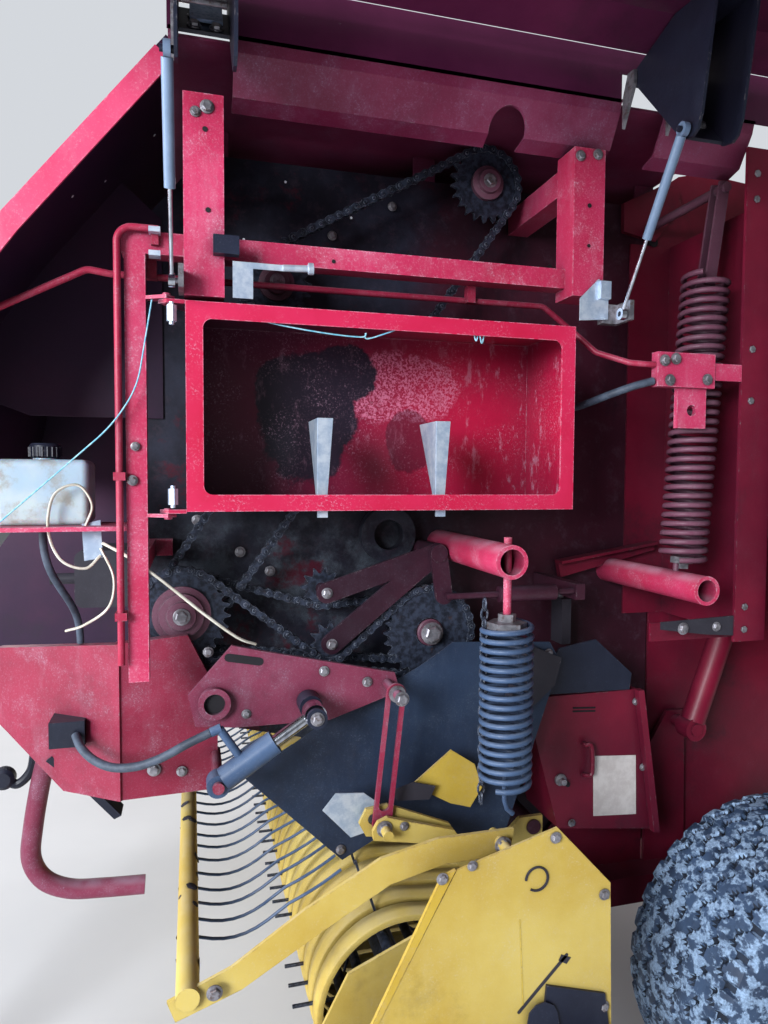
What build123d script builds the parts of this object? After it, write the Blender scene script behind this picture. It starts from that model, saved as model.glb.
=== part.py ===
from build123d import *
from math import atan2, cos, degrees, hypot, pi, radians, sin, tan
import os

os.makedirs("parts", exist_ok=True)

# A round baler with an open bale chamber behind a towed drawbar. Millimetres.
# The frame has +X forward, +Y to the left and +Z up, with its origin on the ground
# under the middle of the machine. Side views are drawn from the axle: X from the
# axle's line, Z from the ground.

# Overall
HITCH_REACH = 2850
TAIL_REACH = 1350
AXLE_X = -(HITCH_REACH - TAIL_REACH) / 2
FIT = 0.3
PIN_FIT = 0.05

# Bale chamber
WALL_Y = 610
WALL_T = 8
WALL_REAR_X = 215
WALL_TOP_Z = 2500
ROOF_Z = 2566
ROOF_T = 6
ROOF_Y = 1000

# Wheels
TYRE_R = 425
TYRE_W = 390
TYRE_Y = 1010
RIM_R = 216
HUB_R = 75
AXLE_R = 35
BEAM = 100

# Upright frame outside the chamber
POST = 78
POST_OUT_Y = 980
FRONT_POST_X = 1507
REAR_POST_X = 655
POST_LOW_Z = 2066
TUBE = 44
TUBE_Z = 2172
TUBE_OUT_Y = 944
COLUMN_X = 1640
COLUMN_LOW_Z = 1290
COLUMN_ARM_Z = 1515
REAR_FLANGE_X = 205
REAR_FLANGE_W = 90
REAR_FLANGE_LOW_Z = 1310

# Twine box
BOX_FRONT_X = 1544
BOX_REAR_X = 683
BOX_LOW_Z = 1638
BOX_TOP_Z = 2056
BOX_OUT_Y = 980
BOX_DEEP = 240
BOX_SHEET = 4
BOX_RIM = 34
DIVIDER_XS = (1010, 1275)
DIVIDER_BACK = 22
DIVIDER_H = 190
DIVIDER_W = 117
DIVIDER_T = 3
HINGE_X = 1580
HINGE_Y = 950

# Drawbar
LEG_REAR_X = 1480
LEG_REAR_Y = 800
LEG_BEND_X = 1700
LEG_FRONT_X = 2640
LEG_FRONT_Y = 150
LEG_T = 28
HITCH_Z = 900
EYE_BORE_R = 25
EYE_R = 60
EYE_T = 45

# Pickup
LIFT_X = 640
LIFT_Z = 760
LIFT_PIN_R = 20
LIFT_ARM_Y = 716
LIFT_ARM_T = 12
REEL_X = 1085
REEL_Z = 555
REEL_R = 130
REEL_SHAFT_R = 30
TINE_R = 245
BAND_R = 202
PICKUP_HALF = 1060
PICKUP_TUBE = (790, 600)
GUARD_PIVOT = (927, 962)
GAUGE_X = 745
GAUGE_Z = 330
GAUGE_R = 190
GAUGE_OFF = 30
SHIELD_OUT_Y = 1190

# Lift lever, link and cylinder
LEVER_X = 1489
LEVER_Z = 1211
LEVER_TUBE_R = 35
LINK_TOP = (1094, 1226)
LINK_LOW = (1126, 930)
RAM_BASE = (1485, 1068)
RAM_ROD = (1282, 1200)
RAM_Y = 955
RAM_STROKE = 72
RAM_BARREL_LONG = 142
EYE_PLAY = 2.8
LINK_Y = 936
LINK_T = 8
LINK_PIN_R = 11
LINK_SLOT = 18
LINK_SLOT_TURN = 25

# Tailgate
LAMP_DEEP = 22.9
GATE_BACK_X = 20 - TAIL_REACH
GATE_ROUND = 400
GATE_X = 170
GATE_Z = 2530
GATE_COVER_Y = 1040
GATE_PIN_R = 20
GATE_RAM_BASE = (120, 980)
GATE_RAM_TOP = (-350, 2250)
GATE_RAM_Y = 700

# Side shields, open on their gas struts
SHIELD_HINGE_Y = 1030
SHIELD_HINGE_Z = 2600
SHIELD_T = 16
SHIELD_OPEN = 82
SHIELD_REAR_X = 170
SHIELD_FRONT_X = 2050
STRUT_XS = (1568, 590)
STRUT_LOW = (1018, 2082)
STRUT_TOP = (1215, 2400)


def side_plane(y):
    """Side view at width y: X forward from the axle, Z up, its normal towards -Y."""
    return Plane((AXLE_X, y, 0), x_dir=(1, 0, 0), z_dir=(0, -1, 0))


def plan_plane(z):
    """Plan view at height z: X forward from the axle, Y to the left."""
    return Plane((AXLE_X, 0, z), x_dir=(1, 0, 0), z_dir=(0, 0, 1))


def front_plane(x):
    """Section at x from the axle: Y to the left, Z up, its normal towards +X."""
    return Plane((AXLE_X + x, 0, 0), x_dir=(0, 1, 0), z_dir=(1, 0, 0))


def plate(points, y_low, y_high, holes=(), mode=Mode.ADD):
    """A flat plate between two widths, with round holes (x, z, radius)."""
    with BuildSketch(side_plane(y_high)) as outline:
        with BuildLine():
            Polyline(*points, close=True)
        make_face()
        for x, z, radius in holes:
            with Locations((x, z)):
                Circle(radius, mode=Mode.SUBTRACT)
    extrude(outline.sketch, amount=y_high - y_low, mode=mode)


def disc(x, z, radius, y_low, y_high, bore=0, mode=Mode.ADD):
    """A round bar, tube or disc across the machine."""
    with BuildSketch(side_plane(y_high)) as ring:
        with Locations((x, z)):
            Circle(radius)
            if bore:
                Circle(bore, mode=Mode.SUBTRACT)
    extrude(ring.sketch, amount=y_high - y_low, mode=mode)


def block(x_low, x_high, y_low, y_high, z_low, z_high, mode=Mode.ADD):
    """A square block between its six faces."""
    middle = (AXLE_X + (x_low + x_high) / 2, (y_low + y_high) / 2, (z_low + z_high) / 2)
    with Locations(middle):
        Box(x_high - x_low, y_high - y_low, z_high - z_low, mode=mode)


def bar(p, q, width, y_low, y_high, holes=(), mode=Mode.ADD):
    """A flat bar with round ends between two side-view points."""
    length = hypot(q[0] - p[0], q[1] - p[1])
    turn = degrees(atan2(q[1] - p[1], q[0] - p[0]))
    with BuildSketch(side_plane(y_high)) as outline:
        with Locations(((p[0] + q[0]) / 2, (p[1] + q[1]) / 2)):
            SlotCenterToCenter(length, width, rotation=turn)
        for x, z, radius in holes:
            with Locations((x, z)):
                Circle(radius, mode=Mode.SUBTRACT)
    extrude(outline.sketch, amount=y_high - y_low, mode=mode)


def round_rod(start, end, radius, mode=Mode.ADD):
    """A round rod between two points given as x from the axle, y and z."""
    a = Vector(AXLE_X + start[0], start[1], start[2])
    b = Vector(AXLE_X + end[0], end[1], end[2])
    with BuildSketch(Plane(a, z_dir=b - a)) as circle:
        Circle(radius)
    extrude(circle.sketch, amount=(b - a).length, mode=mode)


def swept(points, radius, bends):
    """A round pipe through points given as x from the axle, y and z, with its bends' radii."""
    with BuildLine():
        run = FilletPolyline(*[(AXLE_X + x, y, z) for x, y, z in points], radius=bends)
    with BuildSketch(Plane(run @ 0, z_dir=run % 0)) as section:
        Circle(radius)
    sweep(section.sketch, path=run)
    return run.length


def hose(name, points, radius):
    """A hose with bends as large as its runs allow."""
    spots = [Vector(*point) for point in points]
    bends = []
    for before, here, after in zip(spots, spots[1:], spots[2:]):
        half_turn = radians((here - before).get_angle(after - here) / 2)
        bends.append(0.45 * min((here - before).length, (after - here).length) / tan(half_turn))
    length = swept(points, radius, bends)
    print(name, "length", round(length), "bend radii", [round(bend) for bend in bends])


def tangent(a, b):
    """Leave and meet points of a chain from wheel a to wheel b: x, z, radius, turn sense."""
    ax, az, ar, a_way = a
    bx, bz, br, b_way = b
    dx, dz = bx - ax, bz - az
    span = hypot(dx, dz)
    lean = atan2(dz, dx) + atan2(a_way * ar - b_way * br, (span**2 - (a_way * ar - b_way * br)**2)**0.5)
    nx, nz = sin(lean), -cos(lean)
    return (ax + a_way * ar * nx, az + a_way * ar * nz), (bx + b_way * br * nx, bz + b_way * br * nz)


def loop_band(wheels, thick, y_low, y_high):
    """A closed chain or belt round wheels (x, z, radius, turn sense), in order."""
    runs = [tangent(wheels[i], wheels[(i + 1) % len(wheels)]) for i in range(len(wheels))]
    with BuildSketch(side_plane(y_high)) as band:
        with BuildLine() as path:
            for i, (x, z, radius, way) in enumerate(wheels):
                meet = runs[i - 1][1]
                leave = runs[i][0]
                start = atan2(meet[1] - z, meet[0] - x)
                turn = (way * (atan2(leave[1] - z, leave[0] - x) - start)) % (2 * pi)
                middle = start + way * turn / 2
                ThreePointArc(meet, (x + radius * cos(middle), z + radius * sin(middle)), leave)
                Line(leave, runs[i][1])
        trace(path.line, line_width=thick)
    extrude(band.sketch, amount=y_high - y_low)


# Shafts that cross the chamber walls: x, z, shaft radius, reach beyond the left wall
SHAFTS = {
    "drive": (1558, 1390, 24, 165),
    "main_roll": (953, 1318, 24, 165),
    "top_roll": (800, 2460, 20, 135),
    "front_roll": (1336, 2168, 20, 135),
    "floor_roll": (770, 905, 20, 30),
    "rear_roll": (585, 700, 20, 30),
}
ROLL_WALL = 6
# Rolls inside the chamber: shaft name, roll radius
ROLLS = [("main_roll", 100), ("top_roll", 56), ("front_roll", 48), ("floor_roll", 85), ("rear_roll", 70)]

# Chamber side walls, one plate each side, bored for the shafts
WALL_OUTLINE = [(WALL_REAR_X, 620), (WALL_REAR_X, WALL_TOP_Z), (1500, WALL_TOP_Z), (1640, 2330),
                (1640, 1300), (1420, 1060), (1000, 960), (870, 800), (680, 620)]
with BuildPart() as side_walls:
    bores = [(x, z, radius + FIT) for x, z, radius, reach in SHAFTS.values()]
    bores.append((LEVER_X, LEVER_Z, LEVER_TUBE_R + FIT))
    plate(WALL_OUTLINE, WALL_Y - WALL_T, WALL_Y, bores)
    disc(1032, 1558, 74, WALL_Y, WALL_Y + 40, 40)
    disc(LIFT_X, LIFT_Z, LIFT_PIN_R, WALL_Y, LIFT_ARM_Y + LIFT_ARM_T + 6)
    mirror(about=Plane.XZ)
side_walls.part.label = "side_walls"
export_step(side_walls.part, "parts/side_walls.step")

# Rolls with their shafts
with BuildPart() as chamber_rolls:
    for name, roll_r in ROLLS:
        x, z, shaft_r, reach = SHAFTS[name]
        end = WALL_Y - WALL_T - 4
        disc(x, z, roll_r, -end, end, roll_r - ROLL_WALL)
        disc(x, z, roll_r - 1, -end, 12 - end)
        disc(x, z, roll_r - 1, end - 12, end)
        disc(x, z, shaft_r, -(WALL_Y + 30), WALL_Y + reach)
chamber_rolls.part.label = "chamber_rolls"
export_step(chamber_rolls.part, "parts/chamber_rolls.step")

# Belts over the front rolls
BELT_T = 5
BELT_HALF = 560
with BuildPart() as front_belts:
    rounds = []
    for name, roll_r in (ROLLS[2], ROLLS[1], ROLLS[0]):
        x, z = SHAFTS[name][:2]
        rounds.append((x, z, roll_r + FIT + BELT_T / 2, 1))
    loop_band(rounds, BELT_T, -BELT_HALF, BELT_HALF)
front_belts.part.label = "front_belts"
export_step(front_belts.part, "parts/front_belts.step")

# Beams between the walls and the gearbox on the lower one
CROSS_BEAM = 80
BEAM_LOW = (1550, 1225)
BEAM_TOP = (1440, 2400)
GEARBOX = (1500, 1880, 130, 1480)
with BuildPart() as cross_beams:
    for x, z in (BEAM_LOW, BEAM_TOP):
        block(x, x + CROSS_BEAM, -(WALL_Y - WALL_T), WALL_Y - WALL_T, z, z + CROSS_BEAM)
cross_beams.part.label = "cross_beams"
export_step(cross_beams.part, "parts/cross_beams.step")

DRIVE_X, DRIVE_Z, DRIVE_R, DRIVE_REACH = SHAFTS["drive"]
PTO_R = 17.5
PTO_LONG = 90
PTO_Z = 1380
with BuildPart() as gearbox:
    x_low, x_high, half, top = GEARBOX
    block(x_low, x_high, -half, half, BEAM_LOW[1] + CROSS_BEAM, top)
    fillet(gearbox.edges().filter_by(Axis.Y), radius=25)
    disc(DRIVE_X, DRIVE_Z, DRIVE_R, half, WALL_Y + DRIVE_REACH)
    disc(DRIVE_X, DRIVE_Z, DRIVE_R, -(WALL_Y + 30), -half)
    round_rod((x_high, 0, PTO_Z), (x_high + PTO_LONG, 0, PTO_Z), PTO_R)
gearbox.part.label = "gearbox"
export_step(gearbox.part, "parts/gearbox.step")

# Roof sheet with its gutter edge on both sides
GUTTER_LOW = (950, 2475)
with BuildPart() as roof:
    block(WALL_REAR_X + 10, 1572, -ROOF_Y, ROOF_Y, ROOF_Z - ROOF_T, ROOF_Z)
    with BuildSketch(front_plane(WALL_REAR_X + 10)) as gutter:
        with BuildLine() as edge:
            Polyline((ROOF_Y - ROOF_T, ROOF_Z - ROOF_T / 2), (ROOF_Y - 12, 2540), GUTTER_LOW,
                     (GUTTER_LOW[0] - 40, GUTTER_LOW[1] - 12))
        trace(edge.line, line_width=ROOF_T)
    extrude(gutter.sketch, amount=1572 - WALL_REAR_X - 10)
    disc(850, GUTTER_LOW[1] + 6, 44, ROOF_Y - 120, ROOF_Y + 10, mode=Mode.SUBTRACT)
    mirror(about=Plane.XZ)
    for x in STRUT_XS:
        for side in (1, -1):
            low, high = sorted((side * (ROOF_Y - 24), side * (ROOF_Y + 1)))
            block(x - 119, x - 3, low, high, ROOF_Z - 2 * ROOF_T, ROOF_Z + 1, mode=Mode.SUBTRACT)
            low, high = sorted((side * (ROOF_Y - 110), side * (ROOF_Y + 1)))
            block(x - 119, x - 3, low, high, GUTTER_LOW[1] - 20, ROOF_Z - ROOF_T, mode=Mode.SUBTRACT)
    for x in (WALL_REAR_X + 10, 900, 1440):
        for side in (1, -1):
            low, high = sorted((side * (WALL_Y - WALL_T), side * WALL_Y))
            block(x, x + 60, low, high, WALL_TOP_Z, ROOF_Z - ROOF_T)
roof.part.label = "roof"
export_step(roof.part, "parts/roof.step")

# Front hood, a bent sheet on two side brackets
HOOD_LINE = [(1574, 2556), (1871, 2187), (2010, 1990), (2075, 1700)]
HOOD_T = 5
with BuildPart() as front_hood:
    with BuildSketch(side_plane(ROOF_Y - 20)) as hood:
        with BuildLine() as edge:
            Polyline(*HOOD_LINE)
        trace(edge.line, line_width=HOOD_T)
    extrude(hood.sketch, amount=2 * (ROOF_Y - 20))
    for side in (1, -1):
        low, high = sorted((side * WALL_Y, side * (WALL_Y + 6)))
        plate([(1600, 1850), (1600, 2330), (1690, 2409), (1871, 2187), (2010, 1990), (2030, 1900), (1900, 1850)],
              low, high)
front_hood.part.label = "front_hood"
export_step(front_hood.part, "parts/front_hood.step")

# Upright frame: posts, tubes and columns on both sides
with BuildPart() as upright_frame:
    for x, low in ((FRONT_POST_X, POST_LOW_Z), (REAR_POST_X, POST_LOW_Z + 60)):
        block(x - POST / 2, x + POST / 2, POST_OUT_Y - POST, POST_OUT_Y, low, 2458)
        block(x - POST / 2 + 10, x + POST / 2 - 10, WALL_Y, POST_OUT_Y - POST, 2380, 2440)
    block(REAR_POST_X + POST / 2, FRONT_POST_X - POST / 2, TUBE_OUT_Y - TUBE, TUBE_OUT_Y,
          TUBE_Z - TUBE / 2, TUBE_Z + TUBE / 2)
    block(FRONT_POST_X + POST / 2, COLUMN_X + 25, TUBE_OUT_Y - TUBE, TUBE_OUT_Y,
          TUBE_Z - TUBE / 2, TUBE_Z + TUBE / 2)
    block(COLUMN_X - 20, COLUMN_X + 20, TUBE_OUT_Y - 35, TUBE_OUT_Y, COLUMN_LOW_Z, TUBE_Z)
    block(COLUMN_X - 20, COLUMN_X + 20, WALL_Y, TUBE_OUT_Y - 30, COLUMN_ARM_Z, COLUMN_ARM_Z + 40)
    block(COLUMN_X - 60, COLUMN_X - 20, WALL_Y, WALL_Y + 30, COLUMN_ARM_Z, COLUMN_ARM_Z + 40)
    for z in (BOX_LOW_Z - 12, BOX_TOP_Z + 5):
        with BuildSketch(plan_plane(z)) as ear:
            with BuildLine():
                Polyline((COLUMN_X - 20, 925), (HINGE_X, HINGE_Y - 16), (HINGE_X - 16, HINGE_Y),
                         (HINGE_X, HINGE_Y + 16), (COLUMN_X - 20, TUBE_OUT_Y), close=True)
            make_face()
        extrude(ear.sketch, amount=7)
    for z in (BOX_LOW_Z - 16, BOX_TOP_Z - 5):
        round_rod((HINGE_X, HINGE_Y, z), (HINGE_X, HINGE_Y, z + 22), 8)
    disc(877, 1530, 37, WALL_Y, 1072, 28)
    round_rod((868, 1030, 1394), (868, 1030, 1580), 9)
    disc(354, 1444, 35, WALL_Y, 1035, 26)
    mirror(about=Plane.XZ)
    block(COLUMN_X + 20, 1925, 770, TUBE_OUT_Y - 10, 1598, 1607)
upright_frame.part.label = "upright_frame"
export_step(upright_frame.part, "parts/upright_frame.step")

# Rear flange of the front frame, where the tailgate closes
with BuildPart() as rear_flanges:
    rear, front = REAR_FLANGE_X - REAR_FLANGE_W / 2, REAR_FLANGE_X + REAR_FLANGE_W / 2
    block(rear, front, ROOF_Y, ROOF_Y + 8, REAR_FLANGE_LOW_Z, 2500)
    block(rear, rear + 8, WALL_Y, ROOF_Y, REAR_FLANGE_LOW_Z, 2390)
    block(rear, 300, WALL_Y, WALL_Y + 6, REAR_FLANGE_LOW_Z, 2390)
    block(rear, 450, 950, 956, REAR_FLANGE_LOW_Z, REAR_FLANGE_LOW_Z + 45)
    disc(GATE_X, GATE_Z, GATE_PIN_R, WALL_Y - 25, WALL_Y + 16)
    plate([(140, 2510), (150, 2558), (215, 2558), (330, 2500), (330, 2420), (225, 2400)], WALL_Y + FIT, WALL_Y + 16)
    mirror(about=Plane.XZ)
rear_flanges.part.label = "rear_flanges"
export_step(rear_flanges.part, "parts/rear_flanges.step")

# Chassis sills and the axle under the chamber
SILL_LOW = 475
SILL = 80
SILL_FRONT_X = LIFT_X + 20
with BuildPart() as chassis:
    block(-130, SILL_FRONT_X, WALL_Y + 12, WALL_Y + 12 + SILL, SILL_LOW, SILL_LOW + SILL)
    plate([(225, SILL_LOW), (225, 736), (500, 736), (560, 660), (SILL_FRONT_X, 640), (SILL_FRONT_X, SILL_LOW)],
          WALL_Y, WALL_Y + 12)
    mirror(about=Plane.XZ)
    block(-BEAM / 2, BEAM / 2, -760, 760, SILL_LOW - BEAM, SILL_LOW)
    block(SILL_FRONT_X - SILL, SILL_FRONT_X, -(WALL_Y + 12), WALL_Y + 12, SILL_LOW, SILL_LOW + 60)
    for side in (1, -1):
        disc(0, TYRE_R, AXLE_R, *sorted((side * 760, side * (TYRE_Y + 90))))
        disc(GATE_RAM_BASE[0], GATE_RAM_BASE[1], 18, *sorted((side * (WALL_Y + 20), side * (GATE_RAM_Y + 30))))
        plate([(80, SILL_LOW + SILL), (90, 1010), (150, 1010), (220, 900), (220, SILL_LOW + SILL)],
              *sorted((side * (WALL_Y + 12), side * (WALL_Y + 24))))
chassis.part.label = "chassis"
export_step(chassis.part, "parts/chassis.step")

# Wheels: the rim with its hub and the tyre, each side
for side, name in ((1, "left"), (-1, "right")):
    with BuildPart() as rim:
        with BuildSketch(front_plane(0)) as half:
            with BuildLine():
                Polyline((TYRE_Y - TYRE_W / 2 + 25, RIM_R - FIT), (TYRE_Y + TYRE_W / 2 - 25, RIM_R - FIT),
                         (TYRE_Y + TYRE_W / 2 - 25, RIM_R - 12), (TYRE_Y + 30, RIM_R - 40),
                         (TYRE_Y + 30, HUB_R + 20), (TYRE_Y + 120, HUB_R), (TYRE_Y + 120, 0), (TYRE_Y + 100, 0),
                         (TYRE_Y + 100, AXLE_R + PIN_FIT), (TYRE_Y - 120, AXLE_R + PIN_FIT), (TYRE_Y - 120, HUB_R),
                         (TYRE_Y + 10, HUB_R + 20), (TYRE_Y + 10, RIM_R - 50),
                         (TYRE_Y - TYRE_W / 2 + 25, RIM_R - 12), close=True)
            make_face()
        placed = half.sketch.moved(Location((0, 0, TYRE_R)))
        revolve(placed, axis=Axis((AXLE_X, 0, TYRE_R), (0, 1, 0)))
        if side < 0:
            mirror(about=Plane.XZ, mode=Mode.REPLACE)
    rim.part.label = f"{name}_rim"
    export_step(rim.part, f"parts/{name}_rim.step")

    with BuildPart() as tyre:
        with BuildSketch(front_plane(0)) as half:
            inner, outer = TYRE_Y - TYRE_W / 2, TYRE_Y + TYRE_W / 2
            with BuildLine():
                Line((inner + 20, RIM_R), (outer - 20, RIM_R))
                ThreePointArc((outer - 20, RIM_R), (outer + 4, 320), (outer - 24, TYRE_R - 22))
                ThreePointArc((outer - 24, TYRE_R - 22), (TYRE_Y, TYRE_R), (inner + 24, TYRE_R - 22))
                ThreePointArc((inner + 24, TYRE_R - 22), (inner - 4, 320), (inner + 20, RIM_R))
            make_face()
        placed = half.sketch.moved(Location((0, 0, TYRE_R)))
        revolve(placed, axis=Axis((AXLE_X, 0, TYRE_R), (0, 1, 0)))
        if side < 0:
            mirror(about=Plane.XZ, mode=Mode.REPLACE)
    tyre.part.label = f"{name}_tyre"
    export_step(tyre.part, f"parts/{name}_tyre.step")

# Drawbar: two plate legs that run forward past the drive, then together to the hitch
leg_run = Vector(LEG_FRONT_X - LEG_BEND_X, LEG_FRONT_Y - LEG_REAR_Y, 0)
LEG_REAR_OUTLINE = [(LEG_REAR_X, 990), (LEG_REAR_X, 1215), (1545, 1350), (LEG_BEND_X, 1338), (LEG_BEND_X, 985)]
LEG_OUTLINE = [(-10, 985), (-10, 1338), (353, 1300), (leg_run.length, 980), (leg_run.length, 840),
               (370, 1140), (150, 985)]
leg_plane = Plane((AXLE_X + LEG_BEND_X, LEG_REAR_Y, 0), x_dir=leg_run, z_dir=leg_run.cross(Vector(0, 0, 1)))
JACK_X = 2330
JACK_STAND_OFF = 105.64
JACK_TUBE = 70
leg_at_jack = LEG_REAR_Y + (LEG_FRONT_Y - LEG_REAR_Y) * (JACK_X - LEG_BEND_X) / (LEG_FRONT_X - LEG_BEND_X)
JACK_Y = leg_at_jack + JACK_STAND_OFF
HOSE_LUG_Y = 772
with BuildPart() as drawbar:
    plate(LEG_REAR_OUTLINE, LEG_REAR_Y - LEG_T, LEG_REAR_Y)
    with BuildSketch(leg_plane) as leg:
        with BuildLine():
            Polyline(*LEG_OUTLINE, close=True)
        make_face()
    extrude(leg.sketch, amount=LEG_T)
    block(1530, 1590, WALL_Y, LEG_REAR_Y - LEG_T, 1195, 1262)
    disc(LEVER_X, LEVER_Z, LEVER_TUBE_R + FIT, LEG_REAR_Y - LEG_T, LEG_REAR_Y, mode=Mode.SUBTRACT)
    disc(RAM_BASE[0], RAM_BASE[1], 12, LEG_REAR_Y - LEG_T, RAM_Y + 30)
    block(1770, 1840, 690, HOSE_LUG_Y, 1108, 1162)
    mirror(about=Plane.XZ)
    block(LEG_FRONT_X - 60, LEG_FRONT_X + 80, -190, 190, 845, 975)
    block(JACK_X - 30, JACK_X + 30, leg_at_jack - 44, JACK_Y - JACK_TUBE / 2, 1010, 1090)
    eye_x = HITCH_REACH - EYE_R
    with BuildSketch(plan_plane(HITCH_Z - EYE_T / 2)) as eye:
        with Locations((eye_x, 0)):
            Circle(EYE_R)
        with Locations(((LEG_FRONT_X + 80 + eye_x) / 2, 0)):
            Rectangle(eye_x - LEG_FRONT_X - 80, 2 * EYE_R)
    extrude(eye.sketch, amount=EYE_T)
    with BuildSketch(plan_plane(HITCH_Z - EYE_T / 2)) as bore:
        with Locations((eye_x, 0)):
            Circle(EYE_BORE_R)
    extrude(bore.sketch, amount=EYE_T, mode=Mode.SUBTRACT)
drawbar.part.label = "drawbar"
export_step(drawbar.part, "parts/drawbar.step")

# Jack: a square sleeve on the left leg and the leg that slides in it
JACK_WALL = 6
JACK_TOP = 1250
with BuildPart() as jack_sleeve:
    block(JACK_X - JACK_TUBE / 2, JACK_X + JACK_TUBE / 2, JACK_Y - JACK_TUBE / 2, JACK_Y + JACK_TUBE / 2,
          560, JACK_TOP)
    inner = JACK_TUBE / 2 - JACK_WALL
    block(JACK_X - inner, JACK_X + inner, JACK_Y - inner, JACK_Y + inner, 560, JACK_TOP - 10, mode=Mode.SUBTRACT)
jack_sleeve.part.label = "jack_sleeve"
export_step(jack_sleeve.part, "parts/jack_sleeve.step")

with BuildPart() as jack_leg:
    slim = inner - FIT
    block(JACK_X - slim, JACK_X + slim, JACK_Y - slim, JACK_Y + slim, 14, 850)
    block(JACK_X - 90, JACK_X + 90, JACK_Y - 90, JACK_Y + 90, 0, 14)
jack_leg.part.label = "jack_leg"
export_step(jack_leg.part, "parts/jack_leg.step")

# Lift shaft with a lever plate each side, and the cylinders that turn it
LEVER_Y = 850
LEVER_T = 12
with BuildPart() as lift_lever:
    disc(LEVER_X, LEVER_Z, LEVER_TUBE_R, -(LEVER_Y + 30), LEVER_Y + 30, LEVER_TUBE_R - 12)
    for side in (1, -1):
        low, high = sorted((side * LEVER_Y, side * (LEVER_Y + LEVER_T)))
        plate([(1545, 1230), (1450, 1335), (1380, 1318), (1075, 1250), (1062, 1205), (1230, 1150), (1440, 1150),
               (1530, 1160)], low, high)
        inner_y, outer_y = sorted((side * (LEVER_Y + LEVER_T), side * (LEVER_Y + 135)))
        disc(RAM_ROD[0], RAM_ROD[1], 12, inner_y, outer_y)
        disc(LINK_TOP[0], LINK_TOP[1], LINK_PIN_R, inner_y, outer_y)
lift_lever.part.label = "lift_lever"
export_step(lift_lever.part, "parts/lift_lever.step")


def ram(base, head, y, barrel_r, rod_r, barrel_long, rod_deep, eye_r, pin_r, stroke_in=20):
    """Barrel solid from its eye at base, bored for its inward stroke, and rod solid with its eye at head."""
    span = hypot(head[0] - base[0], head[1] - base[1])
    step = ((head[0] - base[0]) / span, (head[1] - base[1]) / span)

    def along(s):
        return (base[0] + s * step[0], y, base[1] + s * step[1])

    with BuildPart() as barrel:
        round_rod(along(eye_r * 0.6), along(barrel_long), barrel_r)
        disc(base[0], base[1], eye_r, y - rod_r - 6, y + rod_r + 6)
        disc(base[0], base[1], pin_r + PIN_FIT, y - 30, y + 30, mode=Mode.SUBTRACT)
        round_rod(along(span - rod_deep - stroke_in), along(barrel_long + 1), rod_r + FIT, mode=Mode.SUBTRACT)
    with BuildPart() as rod:
        round_rod(along(span - rod_deep), along(span - eye_r * 0.6), rod_r)
        disc(head[0], head[1], eye_r, y - rod_r - 6, y + rod_r + 6)
        disc(head[0], head[1], pin_r + EYE_PLAY, y - 30, y + 30, mode=Mode.SUBTRACT)
    return barrel.part, rod.part


left_barrel, left_rod = ram(RAM_BASE, RAM_ROD, RAM_Y, 26, 14, RAM_BARREL_LONG, 136, 24, 12, RAM_STROKE)
with BuildPart() as lift_barrels:
    add(left_barrel)
    round_rod((1440.5, RAM_Y, 1120.8), (1481.5, RAM_Y, 1183.7), 9)
    round_rod((1478, RAM_Y, 1185), (1499.5, RAM_Y, 1177), 10)
    mirror(about=Plane.XZ)
lift_barrels.part.label = "lift_barrels"
export_step(lift_barrels.part, "parts/lift_barrels.step")
with BuildPart() as lift_rods:
    add(left_rod)
    mirror(about=Plane.XZ)
lift_rods.part.label = "lift_rods"
export_step(lift_rods.part, "parts/lift_rods.step")

with BuildPart() as lift_links:
    bar(LINK_TOP, LINK_LOW, 44, LINK_Y, LINK_Y + LINK_T)
    step = ((LINK_LOW[0] - LINK_TOP[0]) * 0.86, (LINK_LOW[1] - LINK_TOP[1]) * 0.86)
    bar(LINK_TOP, (LINK_TOP[0] + step[0], LINK_TOP[1] + step[1]), 2 * LINK_PIN_R + 2, LINK_Y - 1, LINK_Y + LINK_T + 1,
        mode=Mode.SUBTRACT)
    disc(LINK_LOW[0], LINK_LOW[1], LINK_PIN_R, LINK_Y - 17, LINK_Y)
    mirror(about=Plane.XZ)
lift_links.part.label = "lift_links"
export_step(lift_links.part, "parts/lift_links.step")

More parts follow.
